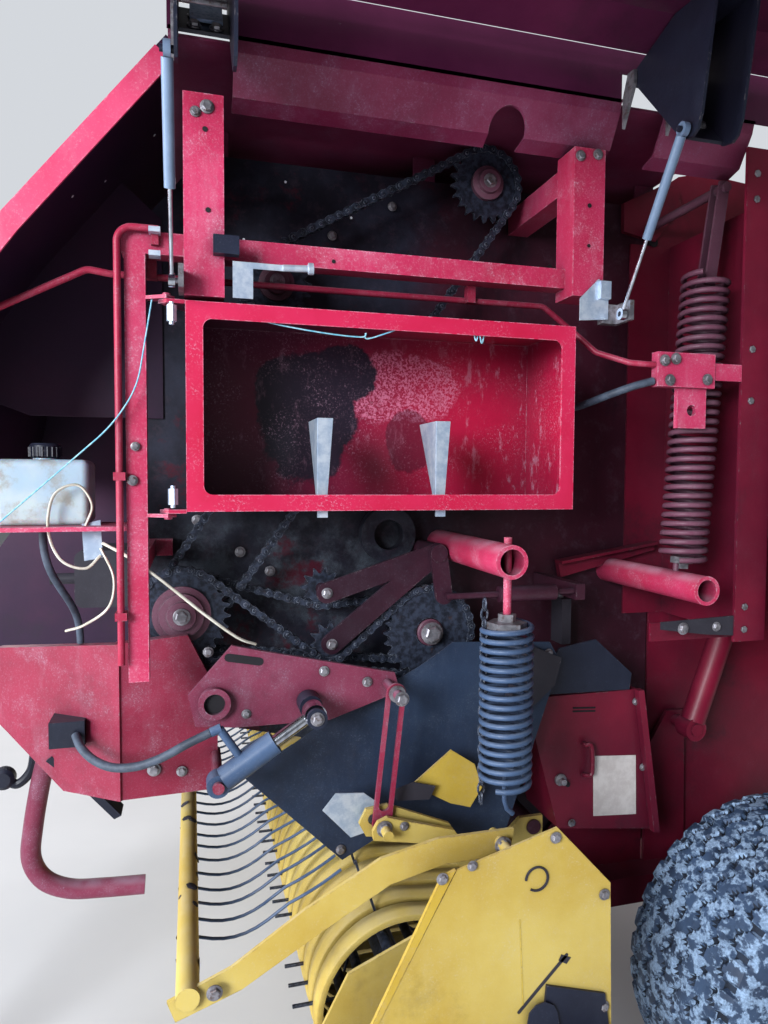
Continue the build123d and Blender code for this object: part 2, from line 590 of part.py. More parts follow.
# Twine boxes, open in front, hung on the columns
for side, name in ((1, "left"), (-1, "right")):
    with BuildPart() as twine_box:
        low, high = sorted((side * (BOX_OUT_Y - BOX_DEEP), side * BOX_OUT_Y))
        block(BOX_REAR_X, BOX_FRONT_X, low, high, BOX_LOW_Z, BOX_TOP_Z)
        low, high = sorted((side * (BOX_OUT_Y - BOX_DEEP + BOX_SHEET), side * (BOX_OUT_Y + 1)))
        block(BOX_REAR_X + BOX_SHEET, BOX_FRONT_X - BOX_SHEET, low, high, BOX_LOW_Z + BOX_SHEET,
              BOX_TOP_Z - BOX_SHEET, mode=Mode.SUBTRACT)
        with BuildSketch(side_plane(side * BOX_OUT_Y)) as rim_frame:
            with Locations(((BOX_REAR_X + BOX_FRONT_X) / 2, (BOX_LOW_Z + BOX_TOP_Z) / 2)):
                Rectangle(BOX_FRONT_X - BOX_REAR_X, BOX_TOP_Z - BOX_LOW_Z)
                RectangleRounded(BOX_FRONT_X - BOX_REAR_X - 2 * BOX_RIM, BOX_TOP_Z - BOX_LOW_Z - 2 * BOX_RIM, 18,
                                 mode=Mode.SUBTRACT)
        extrude(rim_frame.sketch, amount=side * BOX_SHEET)
        floor_z = BOX_LOW_Z + BOX_SHEET
        divider_y = BOX_OUT_Y - DIVIDER_BACK
        for x in DIVIDER_XS:
            with BuildSketch(front_plane(x - DIVIDER_T)) as divider:
                with BuildLine():
                    Polyline((side * divider_y, floor_z), (side * divider_y, floor_z + DIVIDER_H),
                             (side * (divider_y - DIVIDER_W), floor_z + DIVIDER_H),
                             (side * (divider_y - DIVIDER_T), floor_z), close=True)
                make_face()
            extrude(divider.sketch, amount=DIVIDER_T)
            low, high = sorted((side * divider_y, side * (divider_y - DIVIDER_T)))
            plate([(x, floor_z), (x - 17, floor_z), (x - 31, floor_z + DIVIDER_H), (x, floor_z + DIVIDER_H)], low, high)
        for z in (BOX_LOW_Z - 4, BOX_TOP_Z - 4):
            with BuildSketch(plan_plane(z)) as ear:
                with BuildLine():
                    Polyline((BOX_FRONT_X, side * (HINGE_Y - 60)), (HINGE_X, side * (HINGE_Y - 16)),
                             (HINGE_X + 16, side * HINGE_Y), (HINGE_X, side * (HINGE_Y + 16)),
                             (BOX_FRONT_X, side * (HINGE_Y + 16)), close=True)
                make_face()
                with Locations((HINGE_X, side * HINGE_Y)):
                    Circle(8 + PIN_FIT, mode=Mode.SUBTRACT)
            extrude(ear.sketch, amount=8)
    twine_box.part.label = f"{name}_twine_box"
    export_step(twine_box.part, f"parts/{name}_twine_box.step")

# Drive chains as closed bands, and the sprockets they run on
CHAIN_T = 14
CHAIN_W = 18
# Chain runs: inner face width, then wheels (x, z, pitch radius, turn sense)
CHAINS = [
    (712, [(1558, 1390, 78, 1), (1460, 1760, 45, -1), (1336, 2168, 78, 1), (800, 2460, 88, 1)]),
    (742, [(1558, 1390, 103, 1), (1209, 1305, 45, -1), (953, 1318, 112, 1)]),
    (682, [(1558, 1390, 90, 1), (1221, 1430, 45, -1), (953, 1318, 88, 1)]),
]
with BuildPart() as drive_chains:
    for chain_y, wheels in CHAINS:
        loop_band(wheels, CHAIN_T, chain_y, chain_y + CHAIN_W)
drive_chains.part.label = "drive_chains"
export_step(drive_chains.part, "parts/drive_chains.step")

with BuildPart() as sprockets:
    for chain_y, wheels in CHAINS:
        for x, z, radius, way in wheels:
            on_shaft = [shaft for shaft in SHAFTS.values() if hypot(shaft[0] - x, shaft[1] - z) < 1]
            if on_shaft:
                disc(x, z, radius - CHAIN_T / 2 - FIT, chain_y + 5, chain_y + 13, on_shaft[0][2] + FIT)
sprockets.part.label = "sprockets"
export_step(sprockets.part, "parts/sprockets.step")

TENSION_PIVOT = (940, 1521)
with BuildPart() as chain_tensioner:
    disc(TENSION_PIVOT[0], TENSION_PIVOT[1], 22, WALL_Y, 790)
    bar(TENSION_PIVOT, (1209, 1305), 50, 766, 776)
    bar(TENSION_PIVOT, (925, 1414), 44, 776, 786)
    for x, z, low in ((1209, 1305, 742), (1221, 1430, 682)):
        disc(x, z, 45 - CHAIN_T / 2 - FIT, low + 5, low + 13)
        disc(x, z, 12, low, 776)
    bar(TENSION_PIVOT, (1221, 1430), 50, 766, 776)
    round_rod((925, 800, 1414), (590, 830, 1421), 8)
    round_rod((790, 812, 1417), (640, 826, 1420), 20)
    block(565, 590, WALL_Y, 845, 1400, 1440)
chain_tensioner.part.label = "chain_tensioner"
export_step(chain_tensioner.part, "parts/chain_tensioner.step")

# Covers under the chamber sides
COVER_Y = 790
with BuildPart() as lower_covers:
    plate([(292, 740), (366, 1138), (700, 1136), (600, 779)], WALL_Y, COVER_Y)
    plate([(303, 747), (373, 1130), (690, 1128), (596, 785)], WALL_Y - 1, COVER_Y - 4, mode=Mode.SUBTRACT)
    mirror(about=Plane.XZ)
lower_covers.part.label = "lower_covers"
export_step(lower_covers.part, "parts/lower_covers.step")

SKIRT_Y = 820
with BuildPart() as side_skirts:
    plate([(1419, 1015), (1240, 1130), (1000, 1250), (914, 1305), (651, 1291), (620, 1240), (771, 800),
           (1092, 843), (1192, 793)], SKIRT_Y, SKIRT_Y + 4)
    for x, z in ((690, 1250), (1000, 1100)):
        disc(x, z, 12, WALL_Y, SKIRT_Y)
    mirror(about=Plane.XZ)
side_skirts.part.label = "side_skirts"
export_step(side_skirts.part, "parts/side_skirts.step")

# Springs: grey lift springs and red belt springs, with their stubs and rods
LIFT_SPRING_R = 60
with BuildPart() as lift_springs:
    round_rod((868, 1030, 1028), (868, 1030, 1394), LIFT_SPRING_R)
    mirror(about=Plane.XZ)
lift_springs.part.label = "lift_springs"
export_step(lift_springs.part, "parts/lift_springs.step")

with BuildPart() as belt_springs:
    round_rod((336, 920, 1500), (288, 920, 2220), 60)
    round_rod((354, 920, 1444 + 35 + FIT), (354, 920, 1520), 8)
    for y in (902, 930):
        bar((288, 2200), (252, 2432), 30, y, y + 6)
    disc(252, 2432, 12, WALL_Y + 16 + FIT, 945)
    mirror(about=Plane.XZ)
belt_springs.part.label = "belt_springs"
export_step(belt_springs.part, "parts/belt_springs.step")

# Oil tank and its bracket in front of the left column
with BuildPart() as oil_tank:
    block(1739, 1917, 760, 880, 1607, 1742)
    fillet(oil_tank.edges(), radius=14)
    round_rod((1830, 820, 1740), (1830, 820, 1770), 24)
oil_tank.part.label = "oil_tank"
export_step(oil_tank.part, "parts/oil_tank.step")

# Steel pipes to the valve block, clipped under the tube and in front of the left column
PIPE_R = 7
VALVE_FRONT_X = 487
VALVE_Y = 1000
with BuildPart() as steel_pipes:
    run_y = TUBE_OUT_Y - TUBE - 10
    run_z = TUBE_Z - TUBE / 2 - 31
    swept([(2004, run_y, 1981.6), (1735, run_y, run_z + 6), (1690, run_y, run_z), (720, run_y, run_z),
           (638, run_y + 2, 2062), (600, run_y + 40, 2010), (545, 985, 1980), (515, VALVE_Y, 1976),
           (VALVE_FRONT_X + FIT, VALVE_Y, 1976)], PIPE_R, 30)
    for x in (900, 1600):
        block(x, x + 20, run_y - 4, run_y + 16, run_z - PIPE_R, TUBE_Z - TUBE / 2 - FIT)
    down_x = COLUMN_X + 32
    down_y = TUBE_OUT_Y + 11
    swept([(STRUT_XS[0] + 26, down_y, 2196), (down_x, down_y, 2196), (down_x, down_y, 1330)], PIPE_R, 30)
    block(STRUT_XS[0] + 26, STRUT_XS[0] + 40, TUBE_OUT_Y + FIT, down_y, 2166, 2192)
    for z in (1420, 1700):
        block(COLUMN_X + 20 + FIT, down_x + 11, TUBE_OUT_Y - 14, down_y + PIPE_R, z, z + 16)
steel_pipes.part.label = "steel_pipes"
export_step(steel_pipes.part, "parts/steel_pipes.step")

with BuildPart() as valve_block:
    block(330, VALVE_FRONT_X, VALVE_Y - 12, VALVE_Y + 12, 1925, 2005)
    block(345, 425, VALVE_Y - 10, VALVE_Y + 2, 1830, 1925)
    disc(385, 1872, 13, VALVE_Y - 10, VALVE_Y + 2, mode=Mode.SUBTRACT)
    block(REAR_FLANGE_X + REAR_FLANGE_W / 2 + FIT, 330, ROOF_Y, ROOF_Y + 8, 1945, 1985)
valve_block.part.label = "valve_block"
export_step(valve_block.part, "parts/valve_block.step")

# Hoses: tank to drawbar, valve to wall, and one to each lift cylinder
with BuildPart() as hoses:
    hose("lift hose", [(1500, RAM_Y, 1176.8), (1545, 953, 1158), (1592, 946, 1131), (1643, 930, 1109), (1698, 898, 1098),
                       (1742, 853, 1103), (1772, 812, 1118), (1786, HOSE_LUG_Y + 5.4, 1134)], 9)
    mirror(about=Plane.XZ)
    hose("valve hose", [(VALVE_FRONT_X + 3.4, VALVE_Y, 1938), (535, 990, 1926), (577, 955, 1908), (598, 898, 1893),
                        (604, 828, 1886), (598, 752, 1890), (604, 680, 1884), (601, WALL_Y + 1, 1887)], 9)
    hose("tank hose", [(1838, 822, 1597), (1836, 824, 1553), (1826, 820, 1508), (1808, 806, 1468), (1791, 782, 1430),
                       (1783, 752, 1395), (1780, 733, 1358), (1780, 727.7, 1330.2)], 8)
hoses.part.label = "hoses"
export_step(hoses.part, "parts/hoses.step")

# A length of twine tied from the box's upper hinge to the tank's shelf
with BuildPart() as twine_string:
    hose("twine", [(1608, 948, 2059), (1636, 966, 1882), (1684, 968, 1806), (1905, 922, 1608.7)], 1.5)
twine_string.part.label = "twine_string"
export_step(twine_string.part, "parts/twine_string.step")

# Bent stay inside the left drawbar leg
STAY_R = 17
with BuildPart() as drawbar_stay:
    swept([(1671, 350, 536), (1897, 350, 552), (1977, 350, 649), (1921, 350, 953), (1900, 350, 1120),
           (1815.4, 539.6, 1180), (1883.7, 638.4, 1180)], STAY_R, 45)
drawbar_stay.part.label = "drawbar_stay"
export_step(drawbar_stay.part, "parts/drawbar_stay.step")

# Pickup: side shields and frame, bands, tined reel, crop guard and its two wheels
SHIELD_LINE = [(1042, 946), (826, 1005), (701, 872), (692, 560), (760, 380), (1120, 330), (1310, 470)]
with BuildPart() as pickup_frame:
    plate(SHIELD_LINE, SHIELD_OUT_Y - 5, SHIELD_OUT_Y)
    plate([(720, 340), (720, 860), (900, 880), (1030, 770), (1230, 690), (1300, 560), (1270, 420), (1140, 345)],
          PICKUP_HALF + 4, PICKUP_HALF + 12, [(REEL_X, REEL_Z, REEL_SHAFT_R + PIN_FIT)])
    disc(PICKUP_TUBE[0], PICKUP_TUBE[1], 25, PICKUP_HALF, SHIELD_OUT_Y - 5)
    disc(760, 800, 20, PICKUP_HALF + 4, SHIELD_OUT_Y - 5)
    plate([(612, 720), (612, 788), (680, 788), (820, 660), (820, 560), (760, 560)],
          LIFT_ARM_Y, LIFT_ARM_Y + LIFT_ARM_T, [(LIFT_X, LIFT_Z, LIFT_PIN_R + PIN_FIT)])
    disc(GUARD_PIVOT[0], GUARD_PIVOT[1], 12, SHIELD_OUT_Y - 90, SHIELD_OUT_Y - 5)
    bar((840, 540), (GAUGE_X, GAUGE_Z), 60, SHIELD_OUT_Y, SHIELD_OUT_Y + 10)
    disc(GAUGE_X, GAUGE_Z, 18, SHIELD_OUT_Y, SHIELD_OUT_Y + GAUGE_OFF + 105)
    mirror(about=Plane.XZ)
    disc(PICKUP_TUBE[0], PICKUP_TUBE[1], 25, -PICKUP_HALF, PICKUP_HALF)
    for z in (722, 352):
        block(822, 850, -PICKUP_HALF - 4, PICKUP_HALF + 4, z, z + 24)
    for side in (1, -1):
        low, high = sorted((side * 955, side * 1000))
        disc(LINK_LOW[0], LINK_LOW[1], LINK_PIN_R, low, high)
        low, high = sorted((side * 951, side * 963))
        plate([(1150, 905), (1152, 925), (1140, 945), (1118, 953), (960, 905), (770, 640), (800, 560), (838, 652),
               (983, 874)], low, high)
        low, high = sorted((side * (LINK_Y - 15), side * (LINK_Y - 5)))
        plate([(1160, 900), (1176, 930), (1160, 962), (1110, 968), (960, 905), (770, 640), (800, 560), (838, 652),
               (848, 747), (900, 778), (983, 874)], low, high)
        lean = (LINK_SLOT * cos(radians(LINK_SLOT_TURN)), LINK_SLOT * sin(radians(LINK_SLOT_TURN)))
        bar((LINK_LOW[0] - lean[0], LINK_LOW[1] - lean[1]), (LINK_LOW[0] + lean[0], LINK_LOW[1] + lean[1]),
            2 * LINK_PIN_R + 4, low, high, mode=Mode.SUBTRACT)
pickup_frame.part.label = "pickup_frame"
export_step(pickup_frame.part, "parts/pickup_frame.step")

# Stripper bands round the reel, and the bars that hold their ends
TINE_COUNT = 30
TINE_PITCH = 66
TINE_Y = [TINE_PITCH * (i - (TINE_COUNT - 1) / 2) for i in range(TINE_COUNT)]
TINE_WIRE = 6
BAND_W = TINE_PITCH - 18
with BuildPart() as pickup_bands:
    with BuildSketch(side_plane(0)) as band:
        with BuildLine() as path:
            top = (REEL_X + BAND_R * cos(radians(100)), REEL_Z + BAND_R * sin(radians(100)))
            low = (REEL_X + BAND_R * cos(radians(-80)), REEL_Z + BAND_R * sin(radians(-80)))
            Line((850.5, 735), top)
            ThreePointArc(top, (REEL_X + BAND_R * cos(radians(10)), REEL_Z + BAND_R * sin(radians(10))), low)
            Line(low, (850.5, 364))
        trace(path.line, line_width=4)
    for i in range(TINE_COUNT + 1):
        y = TINE_PITCH * (i - TINE_COUNT / 2)
        extrude(band.sketch.moved(Location((0, y + BAND_W / 2, 0))), amount=BAND_W)
pickup_bands.part.label = "pickup_bands"
export_step(pickup_bands.part, "parts/pickup_bands.step")

BAR_COUNT = 5
with BuildPart() as pickup_reel:
    disc(REEL_X, REEL_Z, REEL_SHAFT_R, -PICKUP_HALF - 20, PICKUP_HALF + 20)
    for y in (-1046, -6, 1034):
        disc(REEL_X, REEL_Z, REEL_R + 20, y, y + 12)
    with BuildSketch(side_plane(1040)) as bars:
        with Locations((REEL_X, REEL_Z)):
            with PolarLocations(REEL_R, BAR_COUNT):
                Circle(13)
    extrude(bars.sketch, amount=2080)
    with BuildSketch(side_plane(TINE_WIRE / 2)) as spikes:
        with Locations((REEL_X, REEL_Z)):
            with PolarLocations((REEL_R + TINE_R) / 2, BAR_COUNT):
                Rectangle(TINE_R - REEL_R, TINE_WIRE)
    for y in TINE_Y:
        extrude(spikes.sketch.moved(Location((0, y, 0))), amount=TINE_WIRE)
pickup_reel.part.label = "pickup_reel"
export_step(pickup_reel.part, "parts/pickup_reel.step")

# Crop guard: two bent arms, a cross tube and its long wire tines
GUARD_TUBE = (1548, 752)
GUARD_TUBE_R = 22
GUARD_Y = 1128
with BuildPart() as crop_guard:
    arm = [(895, 985), (1060, 985), (1180, 960), (1330, 880), (1470, 790), (1585, 745), (1570, 705),
           (1450, 745), (1300, 830), (1160, 905), (1050, 930), (905, 932)]
    plate(arm, GUARD_Y, GUARD_Y + 8, [(GUARD_PIVOT[0], GUARD_PIVOT[1], 12 + PIN_FIT)])
    mirror(about=Plane.XZ)
    disc(GUARD_TUBE[0], GUARD_TUBE[1], GUARD_TUBE_R, -GUARD_Y - 20, GUARD_Y + 20)
crop_guard.part.label = "crop_guard"
export_step(crop_guard.part, "parts/crop_guard.step")

with BuildPart() as guard_wires:
    with BuildSketch(side_plane(TINE_WIRE / 2)) as wire:
        with BuildLine() as path:
            ThreePointArc((GUARD_TUBE[0] - GUARD_TUBE_R - 2 * FIT, GUARD_TUBE[1] - 3), (1400, 742), (1215, 840))
        trace(path.line, line_width=TINE_WIRE)
    for i in range(TINE_COUNT - 1):
        y = TINE_PITCH * (i - (TINE_COUNT - 2) / 2)
        extrude(wire.sketch.moved(Location((0, y, 0))), amount=TINE_WIRE)
guard_wires.part.label = "guard_wires"
export_step(guard_wires.part, "parts/guard_wires.step")

# Gauge wheels behind the pickup shields
for side, name in ((1, "left"), (-1, "right")):
    with BuildPart() as gauge_wheel:
        low, high = sorted((side * (SHIELD_OUT_Y + GAUGE_OFF), side * (SHIELD_OUT_Y + GAUGE_OFF + 90)))
        disc(GAUGE_X, GAUGE_Z, GAUGE_R, low, high, 18 + PIN_FIT)
        fillet(gauge_wheel.edges().filter_by(GeomType.CIRCLE).group_by(SortBy.RADIUS)[-1], radius=25)
    gauge_wheel.part.label = f"{name}_gauge_wheel"
    export_step(gauge_wheel.part, f"parts/{name}_gauge_wheel.step")

# Tailgate: inner walls, outer covers, back sheet, rolls and belts
GATE_SEAM = WALL_REAR_X - 8
GATE_OUTLINE = [(GATE_SEAM, 640), (GATE_SEAM, 2555), (140, 2600), (60, 2620), (-700, 2560), (GATE_BACK_X + 210, 2240),
                (GATE_BACK_X + 30, 1760), (GATE_BACK_X, 1300), (GATE_BACK_X + 150, 900), (-800, 640), (-350, 580),
                (0, 590)]


def gate_plate(points, y_low, y_high):
    """A tailgate plate, its rear corners rounded."""
    with BuildSketch(side_plane(y_high)) as outline:
        with BuildLine():
            Polyline(*points, close=True)
        make_face()
        fillet([corner for corner in outline.vertices() if corner.X < -300], radius=GATE_ROUND)
    extrude(outline.sketch, amount=y_high - y_low)


with BuildPart() as tailgate_walls:
    gate_plate(GATE_OUTLINE, WALL_Y - WALL_T, WALL_Y)
    disc(GATE_X, GATE_Z, GATE_PIN_R + FIT, WALL_Y - WALL_T, WALL_Y, mode=Mode.SUBTRACT)
    disc(GATE_RAM_TOP[0], GATE_RAM_TOP[1], 18, WALL_Y, GATE_RAM_Y - 38)
    mirror(about=Plane.XZ)
tailgate_walls.part.label = "tailgate_walls"
export_step(tailgate_walls.part, "parts/tailgate_walls.step")

with BuildPart() as tailgate_back:
    with BuildSketch(side_plane(WALL_Y - WALL_T)) as back:
        with BuildLine() as edge:
            FilletPolyline(*GATE_OUTLINE[3:-1], radius=GATE_ROUND)
        trace(edge.line, line_width=4)
    extrude(back.sketch, amount=2 * (WALL_Y - WALL_T))
tailgate_back.part.label = "tailgate_back"
export_step(tailgate_back.part, "parts/tailgate_back.step")

with BuildPart() as tailgate_covers:
    gate_plate([(148, 1330), (148, 2470), (60, 2610), (-700, 2550), (GATE_BACK_X + 220, 2230),
                (GATE_BACK_X + 40, 1760), (GATE_BACK_X + 20, 1300), (GATE_BACK_X + 190, 960), (-520, 900), (120, 960)],
               GATE_COVER_Y - 6, GATE_COVER_Y)
    for x, z in ((60, 2330), (-500, 1020), (GATE_BACK_X + 330, 2100), (GATE_BACK_X + 230, 1250)):
        block(x - 30, x + 30, WALL_Y, GATE_COVER_Y - 6, z - 30, z + 30)
    mirror(about=Plane.XZ)
tailgate_covers.part.label = "tailgate_covers"
export_step(tailgate_covers.part, "parts/tailgate_covers.step")

GATE_ROLLS = [(-640, 2430, 55), (GATE_BACK_X + 170, 1900, 55), (GATE_BACK_X + 140, 1300, 55), (-760, 740, 70),
              (-150, 680, 70)]
with BuildPart() as tailgate_rolls:
    for x, z, radius in GATE_ROLLS:
        disc(x, z, radius, -(WALL_Y - WALL_T), WALL_Y - WALL_T, radius - ROLL_WALL)
tailgate_rolls.part.label = "tailgate_rolls"
export_step(tailgate_rolls.part, "parts/tailgate_rolls.step")

with BuildPart() as tailgate_belts:
    rounds = [(x, z, radius + FIT + BELT_T / 2, 1) for x, z, radius in GATE_ROLLS]
    loop_band(rounds, BELT_T, -BELT_HALF, BELT_HALF)
tailgate_belts.part.label = "tailgate_belts"
export_step(tailgate_belts.part, "parts/tailgate_belts.step")

# Tailgate cylinders: barrels from the chassis, rods to the tailgate
left_barrel, left_rod = ram(GATE_RAM_BASE, GATE_RAM_TOP, GATE_RAM_Y, 34, 20, 1020, 940, 34, 18)
with BuildPart() as gate_barrels:
    add(left_barrel)
    mirror(about=Plane.XZ)
gate_barrels.part.label = "gate_barrels"
export_step(gate_barrels.part, "parts/gate_barrels.step")
with BuildPart() as gate_rods:
    add(left_rod)
    mirror(about=Plane.XZ)
gate_rods.part.label = "gate_rods"
export_step(gate_rods.part, "parts/gate_rods.step")

# Tail lamps on the back sheet
LAMP_Y = 480
with BuildPart() as tail_lamps:
    block(-TAIL_REACH, LAMP_DEEP - TAIL_REACH, LAMP_Y - 90, LAMP_Y + 90, 1265, 1345)
    mirror(about=Plane.XZ)
tail_lamps.part.label = "tail_lamps"
export_step(tail_lamps.part, "parts/tail_lamps.step")

# Side shields, drawn open: d runs from the hinge to the free edge, n out of the shield
open_turn = radians(SHIELD_OPEN - 90)
shield_down = Vector(0, cos(open_turn), sin(open_turn))
shield_out = Vector(0, -sin(open_turn), cos(open_turn))
SHIELD_SECTION = [(24, 44), (120, 82), (650, 104), (1230, 92), (1240, 84)]
GUSSET_T = 6
GUSSET_STEP = 94
STRUT_PIN = 15.7
SHIELD_OUTLINE = [(SHIELD_REAR_X, -60), (1970, -60), (2030, 140), (SHIELD_FRONT_X, 420), (2000, 760), (1700, 1260),
                  (SHIELD_REAR_X, 1260)]


def shield_plane(x):
    """Section across the open shield at x: d along it, n out of it."""
    return Plane((AXLE_X + x, SHIELD_HINGE_Y, SHIELD_HINGE_Z), x_dir=shield_down, z_dir=(1, 0, 0))


for side, name in ((1, "left"), (-1, "right")):
    with BuildPart() as shield:
        with BuildSketch(shield_plane(SHIELD_REAR_X)) as section:
            with BuildLine() as edge:
                Polyline(*SHIELD_SECTION)
            trace(edge.line, line_width=SHIELD_T)
        extrude(section.sketch, amount=SHIELD_FRONT_X - SHIELD_REAR_X)
        outline_plane = Plane((AXLE_X, SHIELD_HINGE_Y, SHIELD_HINGE_Z), x_dir=(1, 0, 0), z_dir=shield_out)
        with BuildSketch(outline_plane) as outline:
            with BuildLine():
                Polyline(*[(x, d) for x, d in SHIELD_OUTLINE], close=True)
            make_face()
        extrude(outline.sketch, amount=400, both=True, mode=Mode.INTERSECT)
        if side < 0:
            mirror(about=Plane.XZ, mode=Mode.REPLACE)
    shield.part.label = f"{name}_side_shield"
    export_step(shield.part, f"parts/{name}_side_shield.step")

    with BuildPart() as hangers:
        for strut_x in STRUT_XS:
            for x in (strut_x - 17, strut_x - 17 - GUSSET_STEP):
                with BuildSketch(shield_plane(x)) as gusset:
                    with BuildLine():
                        Polyline((-14, -14), (-12, 8), (16, 20), (128, 73.6), (250, 79), (245, -150), (225, -188),
                                 (195, -186), (20, -30), close=True)
                    make_face()
                    Circle(8 + PIN_FIT, mode=Mode.SUBTRACT)
                extrude(gusset.sketch, amount=GUSSET_T)
            with BuildSketch(shield_plane(strut_x - 17 - GUSSET_STEP + GUSSET_T)) as web:
                with BuildLine():
                    Polyline((128, 73.6), (245, 78.8), (245, 70.8), (128, 65.6), close=True)
                make_face()
            extrude(web.sketch, amount=GUSSET_STEP - GUSSET_T)
            top = Vector(AXLE_X + strut_x - 16, STRUT_TOP[0], STRUT_TOP[1])
            with BuildSketch(Plane(top, z_dir=(1, 0, 0))) as ball:
                Circle(6)
            extrude(ball.sketch, amount=28)
        if side < 0:
            mirror(about=Plane.XZ, mode=Mode.REPLACE)
    hangers.part.label = f"{name}_shield_hangers"
    export_step(hangers.part, f"parts/{name}_shield_hangers.step")

    lean = Vector(0, STRUT_LOW[0] - STRUT_TOP[0], STRUT_LOW[1] - STRUT_TOP[1])
    reach = lean.length
    step = lean.normalized()
    with BuildPart() as strut_barrels:
        for strut_x in STRUT_XS:
            top = Vector(AXLE_X + strut_x, STRUT_TOP[0], STRUT_TOP[1])
            with BuildSketch(Plane(top + step * 12, z_dir=step)) as tube:
                Circle(10)
            extrude(tube.sketch, amount=198)
            with BuildSketch(Plane(top + Vector(-6, 0, 0), z_dir=(1, 0, 0))) as eye:
                Circle(14)
                Circle(6 + PIN_FIT, mode=Mode.SUBTRACT)
            extrude(eye.sketch, amount=12)
            with BuildSketch(Plane(top + Vector(-6, 0, 0), z_dir=(1, 0, 0))) as eye:
                Circle(6 + PIN_FIT)
            extrude(eye.sketch, amount=12, mode=Mode.SUBTRACT)
            with BuildSketch(Plane(top + step * 30, z_dir=step)) as tube:
                Circle(4 + FIT)
            extrude(tube.sketch, amount=200, mode=Mode.SUBTRACT)
        if side < 0:
            mirror(about=Plane.XZ, mode=Mode.REPLACE)
    strut_barrels.part.label = f"{name}_strut_barrels"
    export_step(strut_barrels.part, f"parts/{name}_strut_barrels.step")

    with BuildPart() as strut_rods:
        for strut_x in STRUT_XS:
            top = Vector(AXLE_X + strut_x, STRUT_TOP[0], STRUT_TOP[1])
            with BuildSketch(Plane(top + step * 170, z_dir=step)) as tube:
                Circle(4)
            extrude(tube.sketch, amount=reach - 170 - 8)
            with BuildSketch(Plane(top + step * reach + Vector(-6, 0, 0), z_dir=(1, 0, 0))) as eye:
                Circle(13)
            extrude(eye.sketch, amount=12)
            with BuildSketch(Plane(top + step * reach + Vector(-6, 0, 0), z_dir=(1, 0, 0))) as eye:
                Circle(6 + PIN_FIT)
            extrude(eye.sketch, amount=12, mode=Mode.SUBTRACT)
        if side < 0:
            mirror(about=Plane.XZ, mode=Mode.REPLACE)
    strut_rods.part.label = f"{name}_strut_rods"
    export_step(strut_rods.part, f"parts/{name}_strut_rods.step")

with BuildPart() as shield_pivots:
    for strut_x in STRUT_XS:
        with BuildSketch(front_plane(strut_x - 124)) as pin:
            with Locations((SHIELD_HINGE_Y, SHIELD_HINGE_Z)):
                Circle(8)
        extrude(pin.sketch, amount=122)
        with BuildSketch(front_plane(strut_x - 124)) as ear:
            with BuildLine():
                Polyline((ROOF_Y, 2500), (ROOF_Y, ROOF_Z), (SHIELD_HINGE_Y - 12, SHIELD_HINGE_Z + 12),
                         (SHIELD_HINGE_Y + 12, SHIELD_HINGE_Z + 10), (SHIELD_HINGE_Y + 12, SHIELD_HINGE_Z - 20),
                         close=True)
            make_face()
        extrude(ear.sketch, amount=8)
        extrude(ear.sketch.moved(Location((114, 0, 0))), amount=8)
        low_x = strut_x - 22
        block(low_x, low_x + 10, POST_OUT_Y - 20, STRUT_LOW[0] + 14, STRUT_LOW[1] - 14, STRUT_LOW[1] + 30)
        with BuildSketch(front_plane(low_x)) as pin:
            with Locations(STRUT_LOW):
                Circle(6)
        extrude(pin.sketch, amount=STRUT_PIN)
    block(STRUT_XS[1] - 12, REAR_POST_X - POST / 2, POST_OUT_Y - 20, POST_OUT_Y,
          STRUT_LOW[1] - 14, STRUT_LOW[1] + 30)
    mirror(about=Plane.XZ)
shield_pivots.part.label = "shield_pivots"
export_step(shield_pivots.part, "parts/shield_pivots.step")
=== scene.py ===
"""The looks of a dusty towed round baler: finishes, chains, springs, tread, wires and small fittings."""
import random
from math import atan2, cos, hypot, pi, radians, sin

import bmesh
import bpy
from mathutils import Matrix, Vector


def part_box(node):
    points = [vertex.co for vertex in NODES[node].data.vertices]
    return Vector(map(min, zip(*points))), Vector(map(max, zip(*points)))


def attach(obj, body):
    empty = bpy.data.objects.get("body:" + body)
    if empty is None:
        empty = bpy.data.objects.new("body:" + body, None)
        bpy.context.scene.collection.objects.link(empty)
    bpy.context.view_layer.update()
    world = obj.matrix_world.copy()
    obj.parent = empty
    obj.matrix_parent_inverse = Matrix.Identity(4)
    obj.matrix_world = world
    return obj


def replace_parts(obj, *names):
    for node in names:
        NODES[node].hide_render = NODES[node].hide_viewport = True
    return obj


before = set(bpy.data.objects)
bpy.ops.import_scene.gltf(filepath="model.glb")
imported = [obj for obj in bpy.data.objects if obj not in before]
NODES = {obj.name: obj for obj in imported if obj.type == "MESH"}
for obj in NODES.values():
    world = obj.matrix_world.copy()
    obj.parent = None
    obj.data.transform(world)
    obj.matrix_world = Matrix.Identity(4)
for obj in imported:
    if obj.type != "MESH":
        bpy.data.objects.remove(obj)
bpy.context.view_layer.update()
MM = 0.001

# Side views count X from the axle's line, as the frame does
tyre_low, tyre_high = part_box("left_tyre")
AXLE_X = (tyre_low.x + tyre_high.x) / 2


def at(x, y, z):
    """A point given in millimetres from the axle's line, the middle and the ground."""
    return Vector((AXLE_X + x * MM, y * MM, z * MM))


# Camera

# The picture's height and the lens's reach, both in pixels
PHOTO_H = 1024
FOCAL_PX = 710
SENSOR_MM = 36
CAMERA_AT = at(1535, 2450, 1708)
YAW, PITCH, ROLL = radians(15.2), radians(2.75), radians(0.33)


